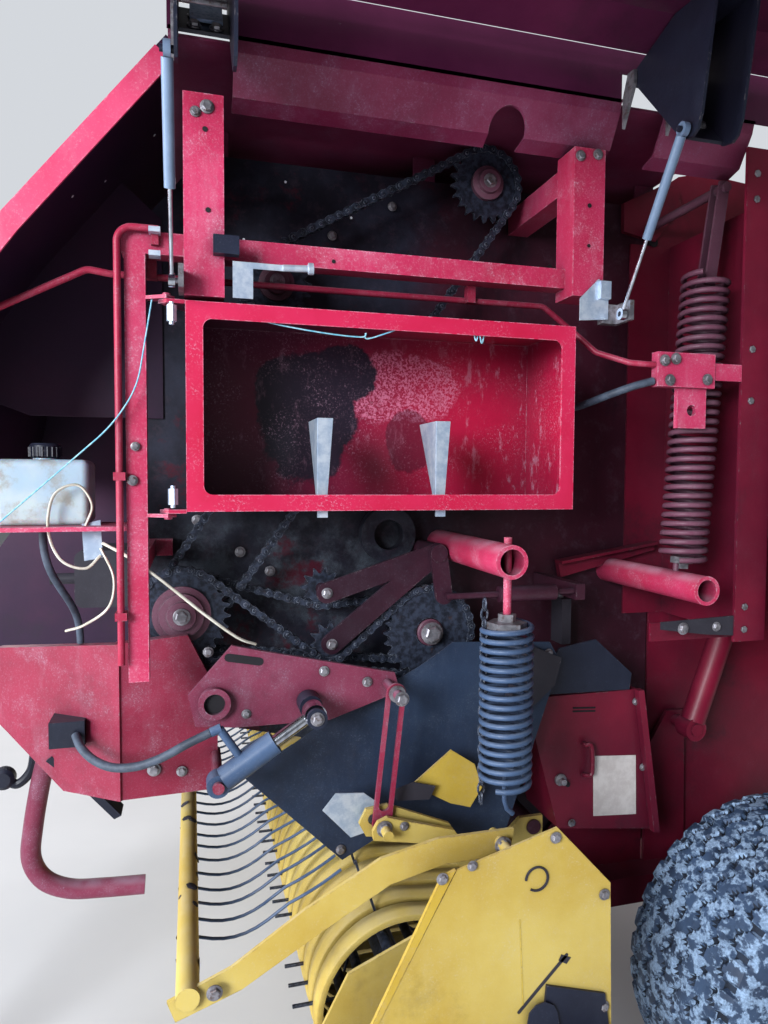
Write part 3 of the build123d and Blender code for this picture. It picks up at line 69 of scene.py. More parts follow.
def make_camera():
    """The photograph's view, from the left, turned a little to the rear and down."""
    flat = Vector((-sin(YAW), -cos(YAW), 0))
    side = Vector((-cos(YAW), sin(YAW), 0))
    ahead = flat * cos(PITCH) - Vector((0, 0, 1)) * sin(PITCH)
    down = -(Vector((0, 0, 1)) * cos(PITCH) + flat * sin(PITCH))
    right = side * cos(ROLL) - down * sin(ROLL)
    drop = down * cos(ROLL) + side * sin(ROLL)
    lens = bpy.data.cameras.new("photo_camera")
    lens.sensor_width = SENSOR_MM
    lens.lens = FOCAL_PX * SENSOR_MM / PHOTO_H
    lens.clip_start = 0.05
    camera = bpy.data.objects.new("photo_camera", lens)
    bpy.context.scene.collection.objects.link(camera)
    turn = Matrix((right, -drop, -ahead)).transposed().to_4x4()
    camera.matrix_world = Matrix.Translation(CAMERA_AT) @ turn
    bpy.context.scene.camera = camera


# Colours and materials

def rgb(red, green, blue):
    """A colour as it looks on a screen, 0 to 255, turned into the linear values that shaders use."""
    def linear(value):
        value /= 255
        return value / 12.92 if value <= 0.04045 else ((value + 0.055) / 1.055) ** 2.4
    return (linear(red), linear(green), linear(blue), 1)


# Rays that each shading point sends out; the render's own samples average them
BEVEL_RAYS = 2
HOLLOW_RAYS = 2


class Finish:
    """A material whose nodes are added one call at a time; every pattern is in the object's own metres."""

    def __init__(self, name, roughness=0.5, metallic=0.0, **sockets):
        self.material = bpy.data.materials.new(name)
        self.material.use_nodes = True
        self.tree = self.material.node_tree
        self.shader = self.tree.nodes["Principled BSDF"]
        self.shader.inputs["Roughness"].default_value = roughness
        self.shader.inputs["Metallic"].default_value = metallic
        for socket, value in sockets.items():
            self.shader.inputs[socket.replace("_", " ")].default_value = value
        self.place = self.tree.nodes.new("ShaderNodeTexCoord").outputs["Object"]

    def put(self, value, socket):
        """Links a node's output to a socket, or sets a number or a colour (0 to 255) there."""
        if isinstance(value, bpy.types.NodeSocket):
            self.tree.links.new(value, socket)
        else:
            socket.default_value = rgb(*value) if isinstance(value, tuple) else value

    def stretched(self, stretch):
        scale = self.tree.nodes.new("ShaderNodeMapping")
        self.put(self.place, scale.inputs["Vector"])
        scale.inputs["Scale"].default_value = stretch
        return scale.outputs["Vector"]

    def noise(self, scale, detail=4, rough=0.6, stretch=None):
        node = self.tree.nodes.new("ShaderNodeTexNoise")
        self.put(self.stretched(stretch) if stretch else self.place, node.inputs["Vector"])
        node.inputs["Scale"].default_value = scale
        node.inputs["Detail"].default_value = detail
        node.inputs["Roughness"].default_value = rough
        return node.outputs["Fac"]

    def cells(self, scale, feature="F1", stretch=None):
        node = self.tree.nodes.new("ShaderNodeTexVoronoi")
        node.feature = feature
        self.put(self.stretched(stretch) if stretch else self.place, node.inputs["Vector"])
        node.inputs["Scale"].default_value = scale
        return node.outputs["Distance"]

    def step(self, value, low, high):
        """0 below low, 1 above high, smooth between."""
        node = self.tree.nodes.new("ShaderNodeMapRange")
        node.interpolation_type = "SMOOTHSTEP"
        self.put(value, node.inputs["Value"])
        node.inputs["From Min"].default_value = low
        node.inputs["From Max"].default_value = high
        return node.outputs["Result"]

    def calc(self, operation, first, second=0.0):
        node = self.tree.nodes.new("ShaderNodeMath")
        node.operation = operation
        self.put(first, node.inputs[0])
        self.put(second, node.inputs[1])
        return node.outputs[0]

    def times(self, first, second):
        return self.calc("MULTIPLY", first, second)

    def plus(self, first, second):
        return self.calc("ADD", first, second)

    def minus(self, first, second):
        return self.calc("SUBTRACT", first, second)

    def rest(self, share):
        """What a share leaves of 1."""
        return self.minus(1.0, share)

    def mottle(self, low, high, *pattern, **stretch):
        """Noise spread out: 0 where it lies below low, 1 above high."""
        return self.step(self.noise(*pattern, **stretch), low, high)

    def blend(self, share, first, second):
        node = self.tree.nodes.new("ShaderNodeMix")
        node.data_type = "RGBA"
        self.put(share, node.inputs["Factor"])
        self.put(first, node.inputs["A"])
        self.put(second, node.inputs["B"])
        return node.outputs["Result"]

    def axis(self, letter):
        node = self.tree.nodes.new("ShaderNodeSeparateXYZ")
        self.put(self.place, node.inputs[0])
        return node.outputs[letter]

    def upward(self, low=0.3, high=0.95):
        """1 on faces that look up, where dust settles."""
        geometry = self.tree.nodes.new("ShaderNodeNewGeometry")
        node = self.tree.nodes.new("ShaderNodeSeparateXYZ")
        self.put(geometry.outputs["Normal"], node.inputs[0])
        return self.step(node.outputs["Z"], low, high)

    def edges(self, radius):
        """1 near sharp edges, where paint wears first."""
        bevel = self.tree.nodes.new("ShaderNodeBevel")
        bevel.samples = BEVEL_RAYS
        bevel.inputs["Radius"].default_value = radius
        geometry = self.tree.nodes.new("ShaderNodeNewGeometry")
        dot = self.tree.nodes.new("ShaderNodeVectorMath")
        dot.operation = "DOT_PRODUCT"
        self.put(bevel.outputs["Normal"], dot.inputs[0])
        self.put(geometry.outputs["Normal"], dot.inputs[1])
        return self.step(self.rest(dot.outputs["Value"]), 0.01, 0.12)

    def hollow_shade_and_dirt(self, reach):
        """1 in corners and under ledges: painted shade where little light comes, and the dirt that gathers
        there.
        """
        node = self.tree.nodes.new("ShaderNodeAmbientOcclusion")
        node.samples = HOLLOW_RAYS
        node.inputs["Distance"].default_value = reach
        return self.rest(self.step(node.outputs["AO"], 0.25, 0.85))

    def blob(self, x, z, half_x, half_z, ragged=1.6, scale=9):
        """1 inside a ragged oval of the side view; x from the axle's line and z, in millimetres."""
        across = self.calc("DIVIDE", self.minus(self.axis("X"), AXLE_X + x * MM), half_x * MM)
        up = self.calc("DIVIDE", self.minus(self.axis("Z"), z * MM), half_z * MM)
        away = self.plus(self.times(across, across), self.times(up, up))
        wander = self.times(self.minus(self.noise(scale, 6, 0.7), 0.5), ragged)
        return self.rest(self.step(self.plus(away, wander), 0.88, 1.12))

    def bump(self, height, strength, distance=0.002):
        node = self.tree.nodes.new("ShaderNodeBump")
        node.inputs["Strength"].default_value = strength
        node.inputs["Distance"].default_value = distance
        self.put(height, node.inputs["Height"])
        self.put(node.outputs["Normal"], self.shader.inputs["Normal"])

    def colour(self, value):
        self.put(value, self.shader.inputs["Base Color"])

    def rough(self, value):
        self.put(value, self.shader.inputs["Roughness"])


DUST = (176, 150, 158)
STEEL_WORN = (128, 122, 124)
GRIME = (34, 32, 38)


def worn_paint(name, deep, bright, dust, chips, grime, gloss, dust_colour=DUST, bare=STEEL_WORN, shade=0.7):
    """Old paint: two tones, fine settled dust, chipped edges, greasy patches, dark corners of dirt and painted
    shade.
    """
    f = Finish(name, gloss, Specular_IOR_Level=0.34)
    tone = f.mottle(0.32, 0.68, 2.2, 5)
    colour = f.blend(tone, deep, bright)
    speckle = f.mottle(0.60 - 0.12 * dust, 0.68, 240, 3, 0.8)
    smear = f.mottle(0.46, 0.68, 13, 7, 0.74)
    streak = f.mottle(0.50, 0.72, 20, 5, 0.7, stretch=(1, 1, 0.18))
    powder = f.times(speckle, f.plus(0.25, f.times(smear, 0.75)))
    powder = f.plus(f.times(powder, 0.30 + 0.45 * dust), f.times(f.plus(smear, streak), 0.16 * dust))
    settled = f.times(f.upward(), f.mottle(0.2, 0.75, 14, 5))
    powder = f.calc("MINIMUM", f.calc("MAXIMUM", powder, f.times(settled, 0.25 + 0.5 * dust)), 0.9)
    colour = f.blend(powder, colour, dust_colour)
    dirty = f.times(f.mottle(0.54, 0.68, 3.1, 7, 0.72), grime)
    colour = f.blend(dirty, colour, GRIME)
    chipped = f.times(f.edges(0.004), f.mottle(0.62 - 0.2 * chips, 0.66, 60, 4, 0.7))
    scratch = f.mottle(0.79 - 0.06 * chips, 0.83, 30, 4, 0.8, stretch=(0.4, 1, 2.2))
    bare_at = f.calc("MINIMUM", f.plus(chipped, f.times(scratch, 0.7)), 1.0)
    colour = f.blend(bare_at, colour, bare)
    # Painted shade, with some dirt, darkens corners and hollows
    colour = f.blend(f.times(f.hollow_shade_and_dirt(0.22), shade), colour, (22, 14, 26))
    f.colour(colour)
    f.rough(f.plus(gloss, f.times(powder, 0.4)))
    f.bump(f.minus(f.noise(90, 3), f.times(bare_at, 0.8)), 0.25, 0.0012)
    return f.material


def oiled_steel():
    """Chains and sprockets: dark with old oil; light on their edges, partly wear where the links rub and partly
    a painted highlight.
    """
    f = Finish("oiled_steel", 0.42, 0.35)
    colour = f.blend(f.mottle(0.35, 0.65, 70, 4), (26, 30, 42), (58, 66, 84))
    # Light edges: rub wear, and a painted highlight
    rubbed_and_highlight = f.times(f.edges(0.002), f.mottle(0.42, 0.6, 120, 3))
    colour = f.blend(rubbed_and_highlight, colour, (150, 158, 172))
    rust = f.mottle(0.60, 0.72, 24, 5, 0.7)
    f.colour(f.blend(f.times(rust, 0.5), colour, (84, 56, 46)))
    f.rough(f.plus(0.30, f.times(f.noise(45, 3), 0.35)))
    f.bump(f.noise(160, 3), 0.3, 0.0008)
    return f.material


def galvanised():
    """Zinc with its grain, cool and matt, white marks and a few rust spots."""
    f = Finish("galvanised", 0.48, 0.45)
    grain = f.cells(120)
    colour = f.blend(f.step(grain, 0.1, 0.7), (124, 148, 182), (156, 176, 204))
    colour = f.blend(f.mottle(0.48, 0.68, 12, 6, 0.7), colour, (84, 100, 126))
    rust = f.mottle(0.64, 0.70, 40, 6, 0.75)
    f.colour(f.blend(rust, colour, (112, 80, 62)))
    f.rough(f.plus(0.34, f.times(f.noise(30, 3), 0.3)))
    f.bump(f.noise(80, 3), 0.2, 0.0008)
    return f.material


def plated():
    """Bolt heads, nuts and pins: dull plated steel."""
    f = Finish("plated", 0.38, 0.7)
    colour = f.blend(f.mottle(0.35, 0.65, 40, 4), (120, 118, 124), (168, 166, 172))
    f.colour(f.blend(f.times(f.mottle(0.56, 0.66, 90, 3), 0.7), colour, (112, 92, 84)))
    return f.material


def polished_rod():
    f = Finish("polished_rod", 0.16, 1.0)
    f.colour(f.blend(f.mottle(0.4, 0.7, 60, 2, stretch=(1, 1, 0.2)), (198, 202, 210), (160, 164, 174)))
    f.bump(f.noise(300, 2), 0.05, 0.0003)
    return f.material


def tyre_rubber():
    """Rubber under pale mud: a mottled crust on the blocks; the grooves, in their own near-black finish, are
    cleaner rubber with painted shade.
    """
    f = Finish("tyre_rubber", 0.78)
    colour = f.blend(f.mottle(0.3, 0.7, 8, 4), (34, 48, 70), (58, 80, 110))
    crust = f.mottle(0.46, 0.55, 42, 5, 0.62, stretch=(1, 0.8, 1))
    fine = f.mottle(0.40, 0.62, 150, 3, 0.7)
    mud = f.times(crust, f.plus(0.55, f.times(fine, 0.45)))
    f.colour(f.blend(mud, colour, (150, 176, 206)))
    f.rough(f.plus(0.62, f.times(mud, 0.3)))
    f.bump(f.plus(f.noise(120, 4), mud), 0.5, 0.002)
    return f.material


def belt_rubber():
    f = Finish("belt_rubber", 0.7)
    ribs = f.cells(85, stretch=(1, 1, 1))
    colour = f.blend(f.mottle(0.35, 0.7, 9, 5), (22, 22, 26), (44, 42, 44))
    f.colour(f.blend(f.times(f.mottle(0.55, 0.7, 30, 4), 0.5), colour, (98, 88, 70)))
    f.bump(ribs, 0.6, 0.002)
    return f.material


def milky_plastic():
    """The oil tank: cloudy plastic that glows a little blue, browned at its seams."""
    f = Finish("milky_plastic", 0.38, Subsurface_Weight=0.35, Subsurface_Scale=0.03, Coat_Weight=0.15)
    colour = f.blend(f.mottle(0.35, 0.7, 9, 4), (168, 190, 206), (196, 206, 206))
    dirty = f.times(f.mottle(0.48, 0.68, 22, 6, 0.7), 0.6)
    f.colour(f.blend(dirty, colour, (146, 132, 112)))
    f.bump(f.noise(26, 3), 0.15, 0.002)
    return f.material


def plain_finish(name, first, second, roughness, scale=18, bump=0.2, metallic=0.0):
    """A two-tone finish for hoses, lines and small moulded pieces."""
    f = Finish(name, roughness, metallic)
    f.colour(f.blend(f.mottle(0.36, 0.66, scale, 5, 0.7), first, second))
    f.rough(f.plus(roughness - 0.08, f.times(f.noise(scale * 2, 3), 0.2)))
    f.bump(f.noise(scale * 8, 3), bump, 0.0006)
    return f.material


def lamp_plastic():
    f = Finish("lamp_plastic", 0.2, Coat_Weight=0.5)
    flutes = f.calc("ABSOLUTE", f.calc("SINE", f.times(f.axis("Y"), 900.0)))
    amber = f.step(f.calc("ABSOLUTE", f.axis("Y")), 0.50, 0.502)
    f.colour(f.blend(amber, (170, 16, 18), (220, 110, 20)))
    f.bump(flutes, 0.4, 0.0008)
    return f.material


def wall_paint():
    """Chamber walls: deep red behind, near black and caked dirt about the chains."""
    f = Finish("wall_paint", 0.5, Specular_IOR_Level=0.3)
    red = f.blend(f.mottle(0.3, 0.7, 2.4, 5), (46, 14, 28), (74, 26, 44))
    place = f.plus(f.axis("X"), f.times(f.noise(2.6, 6, 0.7), 0.5))
    front = f.step(place, AXLE_X + 1.02, AXLE_X + 1.26)
    steel = f.blend(f.mottle(0.35, 0.7, 6, 6, 0.7), (26, 24, 38), (52, 56, 74))
    low = f.rest(f.step(f.axis("Z"), 1.52, 1.66))
    steel = f.blend(f.times(low, f.mottle(0.42, 0.66, 8, 7, 0.75)), steel, (96, 106, 118))
    colour = f.blend(front, red, steel)
    patch = f.times(front, f.mottle(0.54, 0.64, 3.4, 6, 0.75))
    colour = f.blend(patch, colour, (96, 20, 44))
    dust = f.mottle(0.50, 0.70, 18, 7, 0.78)
    colour = f.blend(f.times(dust, 0.34), colour, (104, 82, 98))
    stain = f.mottle(0.52, 0.70, 2.8, 7, 0.75, stretch=(1, 1, 0.45))
    colour = f.blend(f.times(stain, 0.78), colour, (26, 20, 32))
    # Painted shade, with some dirt, darkens corners and hollows
    f.colour(f.blend(f.times(f.hollow_shade_and_dirt(0.3), 0.75), colour, (14, 10, 18)))
    f.bump(f.noise(70, 4), 0.3, 0.001)
    return f.material


# Marks that the twine rubbed on the box's back: x, z, half width, half height, strength
BOX_MARKS = [(1262, 1850, 118, 160, 1.0), (1180, 1960, 90, 70, 1.0), (1330, 1900, 60, 90, 1.0),
             (1010, 1800, 60, 80, 0.55)]


def box_paint():
    """The twine box: bright rim; its back rubbed black, pink and bare by the balls of twine."""
    f = Finish("box_paint", 0.38, Specular_IOR_Level=0.4)
    lo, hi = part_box("left_twine_box")
    inside = f.rest(f.step(f.calc("ABSOLUTE", f.axis("Y")), hi.y - 0.030, hi.y - 0.010))
    outer = f.blend(f.mottle(0.3, 0.7, 3, 5), (190, 22, 62), (208, 40, 84))
    side = f.step(f.plus(f.axis("X"), f.times(f.noise(3.2, 5), 0.12)), AXLE_X + 0.80, AXLE_X + 1.45)
    inner = f.blend(side, (186, 18, 62), (92, 10, 44))
    colour = f.blend(inside, outer, inner)
    back = f.rest(f.step(f.calc("ABSOLUTE", f.axis("Y")), lo.y + 0.006, lo.y + 0.012))
    rust = f.times(back, f.blob(1040, 1930, 150, 90, 2.6, 7))
    colour = f.blend(f.times(rust, f.times(f.mottle(0.42, 0.60, 190, 3, 0.7), 0.8)), colour, (214, 120, 150))
    for x, z, wide, high, share in BOX_MARKS:
        mark = f.times(f.times(back, f.blob(x, z, wide, high, 1.9, 8)), share)
        colour = f.blend(mark, colour, (30, 20, 36))
    worn = f.times(f.mottle(0.56, 0.66, 26, 7, 0.76, stretch=(1, 1, 0.4)), inside)
    toward_rear = f.rest(f.step(f.axis("X"), AXLE_X + 0.70, AXLE_X + 0.95))
    colour = f.blend(f.times(worn, f.plus(0.12, f.times(toward_rear, 0.6))), colour, (216, 160, 184))
    edge = f.times(f.edges(0.003), f.mottle(0.40, 0.56, 50, 4, 0.7))
    colour = f.blend(f.times(edge, 0.85), colour, (226, 190, 208))
    dust = f.times(f.mottle(0.54, 0.66, 210, 3, 0.8), f.mottle(0.40, 0.66, 9, 6, 0.7))
    colour = f.blend(f.times(dust, 0.42), colour, (210, 168, 190))
    # Painted shade, with some dirt, darkens corners and hollows
    f.colour(f.blend(f.times(f.hollow_shade_and_dirt(0.2), 0.72), colour, (34, 14, 36)))
    f.bump(f.noise(90, 3), 0.2, 0.001)
    return f.material


# Worn paints: deep and bright tone, dust, chips, grime, gloss, the dust's colour, bare metal's colour, shade
# (how strongly painted shade darkens the hollows)
PAINTS = {
    "red_bright": ((184, 34, 72), (206, 62, 104), 0.80, 0.9, 0.16, 0.42, (216, 172, 192), (218, 192, 204)),
    # Next row: a lighter copy of the hood's red, with less shade in its hollows, painted as the lit edge flange
    "hood_edge": ((204, 52, 92), (222, 84, 122), 0.5, 0.6, 0.08, 0.42, (226, 178, 196), (222, 196, 206), 0.3),
    "plum_dust": ((116, 36, 62), (142, 62, 88), 0.70, 0.6, 0.25, 0.42, (160, 140, 158)),
    "stub_dust": ((92, 48, 70), (122, 84, 104), 0.90, 0.5, 0.30, 0.42, (146, 130, 146)),
    "oily_red": ((46, 20, 34), (76, 34, 50), 0.45, 0.5, 0.6, 0.36, (96, 84, 98)),
    "strut_grey": ((98, 118, 144), (126, 146, 172), 0.4, 0.4, 0.3, 0.34, (150, 160, 176)),
    "red_dusty": ((128, 22, 50), (158, 44, 74), 0.80, 0.6, 0.20, 0.42, (158, 132, 148)),
    "red_bar": ((148, 18, 52), (178, 40, 74), 0.60, 0.6, 0.20, 0.42, (176, 140, 156)),
    # Next row: a darker red for inner walls and low parts: grime, and painted shade for parts that stand in
    # shadow
    "red_dirt_and_shade": ((98, 12, 38), (130, 22, 50), 0.22, 0.35, 0.5, 0.42, (112, 84, 98)),
    "red_shield": ((80, 24, 58), (102, 38, 74), 0.05, 0.10, 0.3, 0.34, (108, 72, 90)),
    "roof": ((112, 30, 62), (146, 62, 96), 0.70, 0.5, 0.15, 0.36, (150, 118, 146)),
    "red_spring": ((104, 56, 76), (124, 80, 98), 0.9, 0.8, 0.4, 0.42, (134, 112, 122)),
    "yellow": ((192, 160, 66), (214, 190, 104), 0.40, 0.85, 0.22, 0.44, (206, 194, 164), (104, 78, 66), 0.6),
    "yellow_worn": ((196, 160, 50), (220, 190, 82), 0.6, 1.0, 0.45, 0.5, (190, 176, 150), (92, 66, 52)),
    "black": ((20, 24, 38), (34, 40, 58), 0.25, 0.3, 0.2, 0.4, (88, 92, 112)),
    "black_sheet": ((26, 38, 58), (44, 62, 88), 0.40, 0.4, 0.25, 0.5, (104, 116, 134)),
    "grey_spring": ((54, 74, 104), (78, 102, 136), 0.3, 0.4, 0.2, 0.4, (142, 154, 172)),
    # Next row: a near-black copy of the hood's red, painted shade for its inside and the guard behind it
    "hood": ((44, 22, 50), (66, 30, 58), 0.12, 0.1, 0.4, 0.5, (88, 70, 100)),
    "rim": ((186, 188, 186), (206, 206, 202), 0.5, 0.3, 0.3, 0.45),
    "cast": ((40, 38, 48), (56, 54, 62), 0.4, 0.1, 0.5, 0.6, (86, 84, 94)),
}
# Two-tone finishes: both tones, roughness, noise scale, bump, metallic
PLAINS = {
    "hose_black": ((46, 54, 68), (74, 84, 100), 0.6),
    "line_cream": ((196, 190, 172), (224, 220, 206), 0.4),
    "twine": ((96, 176, 206), (170, 214, 226), 0.7, 120),
    # Next row: near black for the tyre's sunk faces, clean rubber darkened further as painted shade in the
    # grooves
    "groove": ((16, 24, 38), (32, 44, 62), 0.8, 40),
    "rubber": ((34, 40, 52), (56, 64, 80), 0.65),
    "zinc_bright": ((168, 186, 208), (206, 216, 228), 0.4, 30, 0.2, 0.5),
    "blank_panel": ((196, 188, 184), (214, 208, 204), 0.5, 24),
    # Near white discs that stand for daylight seen through holes: painted light
    "daylight": ((226, 232, 244), (240, 244, 250), 0.9),
    # Near black plates and discs for holes, slots and bores: painted shade where the openings are
    "bore_shade": ((16, 14, 20), (28, 24, 32), 0.8),
}
MAT = {name: worn_paint(name, *values) for name, values in PAINTS.items()}
MAT |= {name: plain_finish(name, *values) for name, values in PLAINS.items()}
MAT |= {"oiled": oiled_steel(), "zinc": galvanised(), "plated": plated(), "chrome": polished_rod(),
        "tyre": tyre_rubber(), "belt": belt_rubber(), "tank": milky_plastic(), "lamp": lamp_plastic(),
        "wall": wall_paint(), "box": box_paint()}

# The finish of each node that is carried over or stood in for
NODES_IN = {
    "belt": ["front_belts", "tailgate_belts"],
    "black": ["jack_sleeve", "left_shield_hangers", "right_shield_hangers"],
    "black_sheet": ["side_skirts"],
    "box": ["left_twine_box", "right_twine_box"],
    "cast": ["chamber_rolls", "gearbox", "tailgate_rolls"],
    "chrome": ["lift_rods", "gate_rods", "left_strut_rods", "right_strut_rods"],
    "grey_spring": ["lift_barrels", "lift_springs", "guard_wires"],
    "hood": ["front_hood"],
    "hose_black": ["hoses"],
    "lamp": ["tail_lamps"],
    "oiled": ["pickup_reel", "sprockets", "drive_chains"],
    "oily_red": ["chain_tensioner"],
    "plated": ["shield_pivots"],
    "plum_dust": ["lift_lever", "drawbar_stay"],
    "red_bar": ["tailgate_covers", "steel_pipes"],
    "red_bright": ["upright_frame", "valve_block"],
    "red_dirt_and_shade": ["rear_flanges", "chassis", "lower_covers", "tailgate_walls", "gate_barrels"],
    "red_dusty": ["drawbar", "lift_links", "tailgate_back"],
    "red_shield": ["left_side_shield", "right_side_shield"],
    "red_spring": ["belt_springs"],
    "rim": ["left_rim", "right_rim"],
    "roof": ["roof"],
    "rubber": ["left_gauge_wheel", "right_gauge_wheel"],
    "strut_grey": ["left_strut_barrels", "right_strut_barrels"],
    "stub_dust": ["cross_beams"],
    "tank": ["oil_tank"],
    "twine": ["twine_string"],
    "tyre": ["left_tyre", "right_tyre"],
    "wall": ["side_walls"],
    "yellow": ["pickup_frame", "pickup_bands", "crop_guard"],
    "zinc": ["jack_leg"],
}


def paint_nodes():
    """Every carried-over piece takes its finish."""
    for finish, names in NODES_IN.items():
        for name in names:
            NODES[name].data.materials.clear()
            NODES[name].data.materials.append(MAT[finish])


# Meshes

BOTH = (1, -1)
LEFT = (1,)


def turns_of(count):
    """Angles that share out a full turn."""
    return [2 * pi * k / count for k in range(count)]


def round_points(x, z, radius, turns):
    return [(x + radius * cos(t), z + radius * sin(t)) for t in turns]


class Heap:
    """Many small forms gathered into one mesh."""

    def __init__(self):
        self.points = []
        self.faces = []
        self.second = set()

    def add(self, points, faces):
        base = len(self.points)
        self.points += [Vector(p) for p in points]
        self.faces += [tuple(base + i for i in face) for face in faces]

    def skin(self, points, around, closed=False):
        """Rings of so many points each, joined one to the next; the ends are capped unless they join too."""
        rings = len(points) // around
        faces = []
        for i in range(rings if closed else rings - 1):
            here, there = i * around, (i + 1) % rings * around
            for k in range(around):
                n = (k + 1) % around
                faces.append((here + k, here + n, there + n, there + k))
        if not closed:
            faces.append(tuple(reversed(range(around))))
            faces.append(tuple(range(len(points) - around, len(points))))
        self.add(points, faces)

    def tube(self, route, radius, sides=8, closed=False):
        """A round tube along a route of points; radius may be one value or one for each point."""
        route = [Vector(p) for p in route]
        count = len(route)
        radii = radius if isinstance(radius, (list, tuple)) else [radius] * count
        points = []
        normal = None
        for i, here in enumerate(route):
            before = route[i - 1] if i or closed else here
            after = route[(i + 1) % count] if i < count - 1 or closed else here
            ahead = (after - before).normalized()
            if normal is None:
                normal = ahead.orthogonal().normalized()
            normal = (normal - ahead * normal.dot(ahead)).normalized()
            side = ahead.cross(normal)
            points += [here + (normal * cos(t) + side * sin(t)) * radii[i] for t in turns_of(sides)]
        self.skin(points, sides, closed)

    def prism(self, outline, low, high, lift):
        """A flat outline raised between two heights; lift(u, v, w) places its points."""
        count = len(outline)
        points = [lift(u, v, low) for u, v in outline] + [lift(u, v, high) for u, v in outline]
        faces = [tuple(reversed(range(count))), tuple(range(count, 2 * count))]
        faces += [(i, (i + 1) % count, count + (i + 1) % count, count + i) for i in range(count)]
        self.add(points, faces)

    def lathe(self, centre, axis, profile, sides=24):
        """A turned form: profile gives (distance along the axis, radius)."""
        axis = Vector(axis).normalized()
        across = axis.orthogonal().normalized()
        up = axis.cross(across)
        points = []
        for along, radius in profile:
            points += [Vector(centre) + axis * along + (across * cos(t) + up * sin(t)) * radius
                       for t in turns_of(sides)]
        self.skin(points, sides)

    def bolt(self, centre, axis, size):
        """A hexagon head on its washer; size is the head's half width."""
        self.lathe(centre, axis, [(0, size * 1.5), (size * 0.22, size * 1.5), (size * 0.25, size * 1.42)], 16)
        head = [(size * 0.2, size * 1.12), (size * 0.82, size * 1.12), (size * 0.95, size * 0.9)]
        self.lathe(centre, axis, head, 6)

    def make(self, name, material, slot, body="frame", smooth=30):
        """Turns the heap into one piece that rides on a body; smooth is the angle that stays a sharp edge."""
        mesh = bpy.data.meshes.new(name)
        mesh.from_pydata([tuple(p) for p in self.points], [], self.faces)
        form = bmesh.new()
        form.from_mesh(mesh)
        bmesh.ops.recalc_face_normals(form, faces=form.faces)
        for edge in form.edges:
            if len(edge.link_faces) == 2 and edge.calc_face_angle(0) > radians(smooth):
                edge.smooth = False
        for face in form.faces:
            face.smooth = True
        form.to_mesh(mesh)
        form.free()
        piece = bpy.data.objects.new(name, mesh)
        bpy.context.scene.collection.objects.link(piece)
        mesh.materials.append(MAT[material])
        if self.second:
            mesh.materials.append(MAT["groove"])
            for i in self.second:
                mesh.polygons[i].material_index = 1
        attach(piece, body)
        return piece


def in_metres(profile):
    return [(along * MM, radius * MM) for along, radius in profile]


def side_lift(u, v, w):
    """Side view: u forward from the axle, v up, w to the left, all in millimetres."""
    return at(u, w, v)


# Chains and sprockets

CHAIN_PITCH = 25.4
CHAIN_WIDE = 18
PLATE_T = 2.6
PLATE_WAIST = 6.6
# Along the pin, then radius
ROLLER = [(0, 7.6), (11, 7.6)]
RIVET = [(0, 3.4), (1.5, 4.4), (25.5, 4.4), (27, 3.4)]
IDLER_R = 45
# A tooth: share of its step, then height above the pitch circle
TOOTH = [(0.0, -8.2), (0.16, -7.0), (0.30, -1.0), (0.44, 7.5), (0.56, 7.5), (0.70, -1.0), (0.84, -7.0)]
# Chain runs: place across of the inner face, then wheels (x, z, pitch radius, turn sense)
CHAIN_RUNS = {
    "outer_left": (712, [(1558, 1390, 78, 1), (1460, 1760, IDLER_R, -1), (1336, 2168, 78, 1),
                         (800, 2460, 88, 1)]),
    "lower_outer": (742, [(1558, 1390, 103, 1), (1209, 1305, IDLER_R, -1), (953, 1318, 112, 1)]),
    "lower_inner": (682, [(1558, 1390, 90, 1), (1221, 1430, IDLER_R, -1), (953, 1318, 88, 1)]),
}


def tangent(a, b):
    """Where a chain leaves wheel a and meets wheel b."""
    ax, az, ar, a_way = a
    bx, bz, br, b_way = b
    dx, dz = bx - ax, bz - az
    span = hypot(dx, dz)
    cross = a_way * ar - b_way * br
    lean = atan2(dz, dx) + atan2(cross, (span ** 2 - cross ** 2) ** 0.5)
    nx, nz = sin(lean), -cos(lean)
    return (ax + a_way * ar * nx, az + a_way * ar * nz), (bx + b_way * br * nx, bz + b_way * br * nz)


def chain_pins(wheels):
    """Evenly spaced pins round the wheels, an even number of them."""
    runs = [tangent(wheels[i], wheels[(i + 1) % len(wheels)]) for i in range(len(wheels))]
    path = []
    for i, (x, z, radius, way) in enumerate(wheels):
        meet, leave = runs[i - 1][1], runs[i][0]
        start = atan2(meet[1] - z, meet[0] - x)
        turn = (way * (atan2(leave[1] - z, leave[0] - x) - start)) % (2 * pi)
        steps = max(4, int(turn * radius / 3))
        path += round_points(x, z, radius, [start + way * turn * k / steps for k in range(steps + 1)])
    path.append(path[0])
    lengths = [0]
    for p, q in zip(path, path[1:]):
        lengths.append(lengths[-1] + hypot(q[0] - p[0], q[1] - p[1]))
    count = 2 * round(lengths[-1] / CHAIN_PITCH / 2)
    pins = []
    j = 0
    for i in range(count):
        goal = lengths[-1] * i / count
        while lengths[j + 1] < goal:
            j += 1
        share = (goal - lengths[j]) / max(lengths[j + 1] - lengths[j], 1e-9)
        pins.append((path[j][0] + (path[j + 1][0] - path[j][0]) * share,
                     path[j][1] + (path[j + 1][1] - path[j][1]) * share))
    return pins


def link_outline(p, q, end, waist):
    """A chain plate between two pins, waisted in the middle."""
    turn = atan2(q[1] - p[1], q[0] - p[0])
    middle = ((p[0] + q[0]) / 2, (p[1] + q[1]) / 2)
    outline = []
    for centre, start in ((q, turn - pi / 2), (p, turn + pi / 2)):
        outline += round_points(*centre, end, [start + pi * k / 5 for k in range(6)])
        away = turn + pi / 2 if centre is q else turn - pi / 2
        outline += round_points(*middle, waist, [away])
    return outline


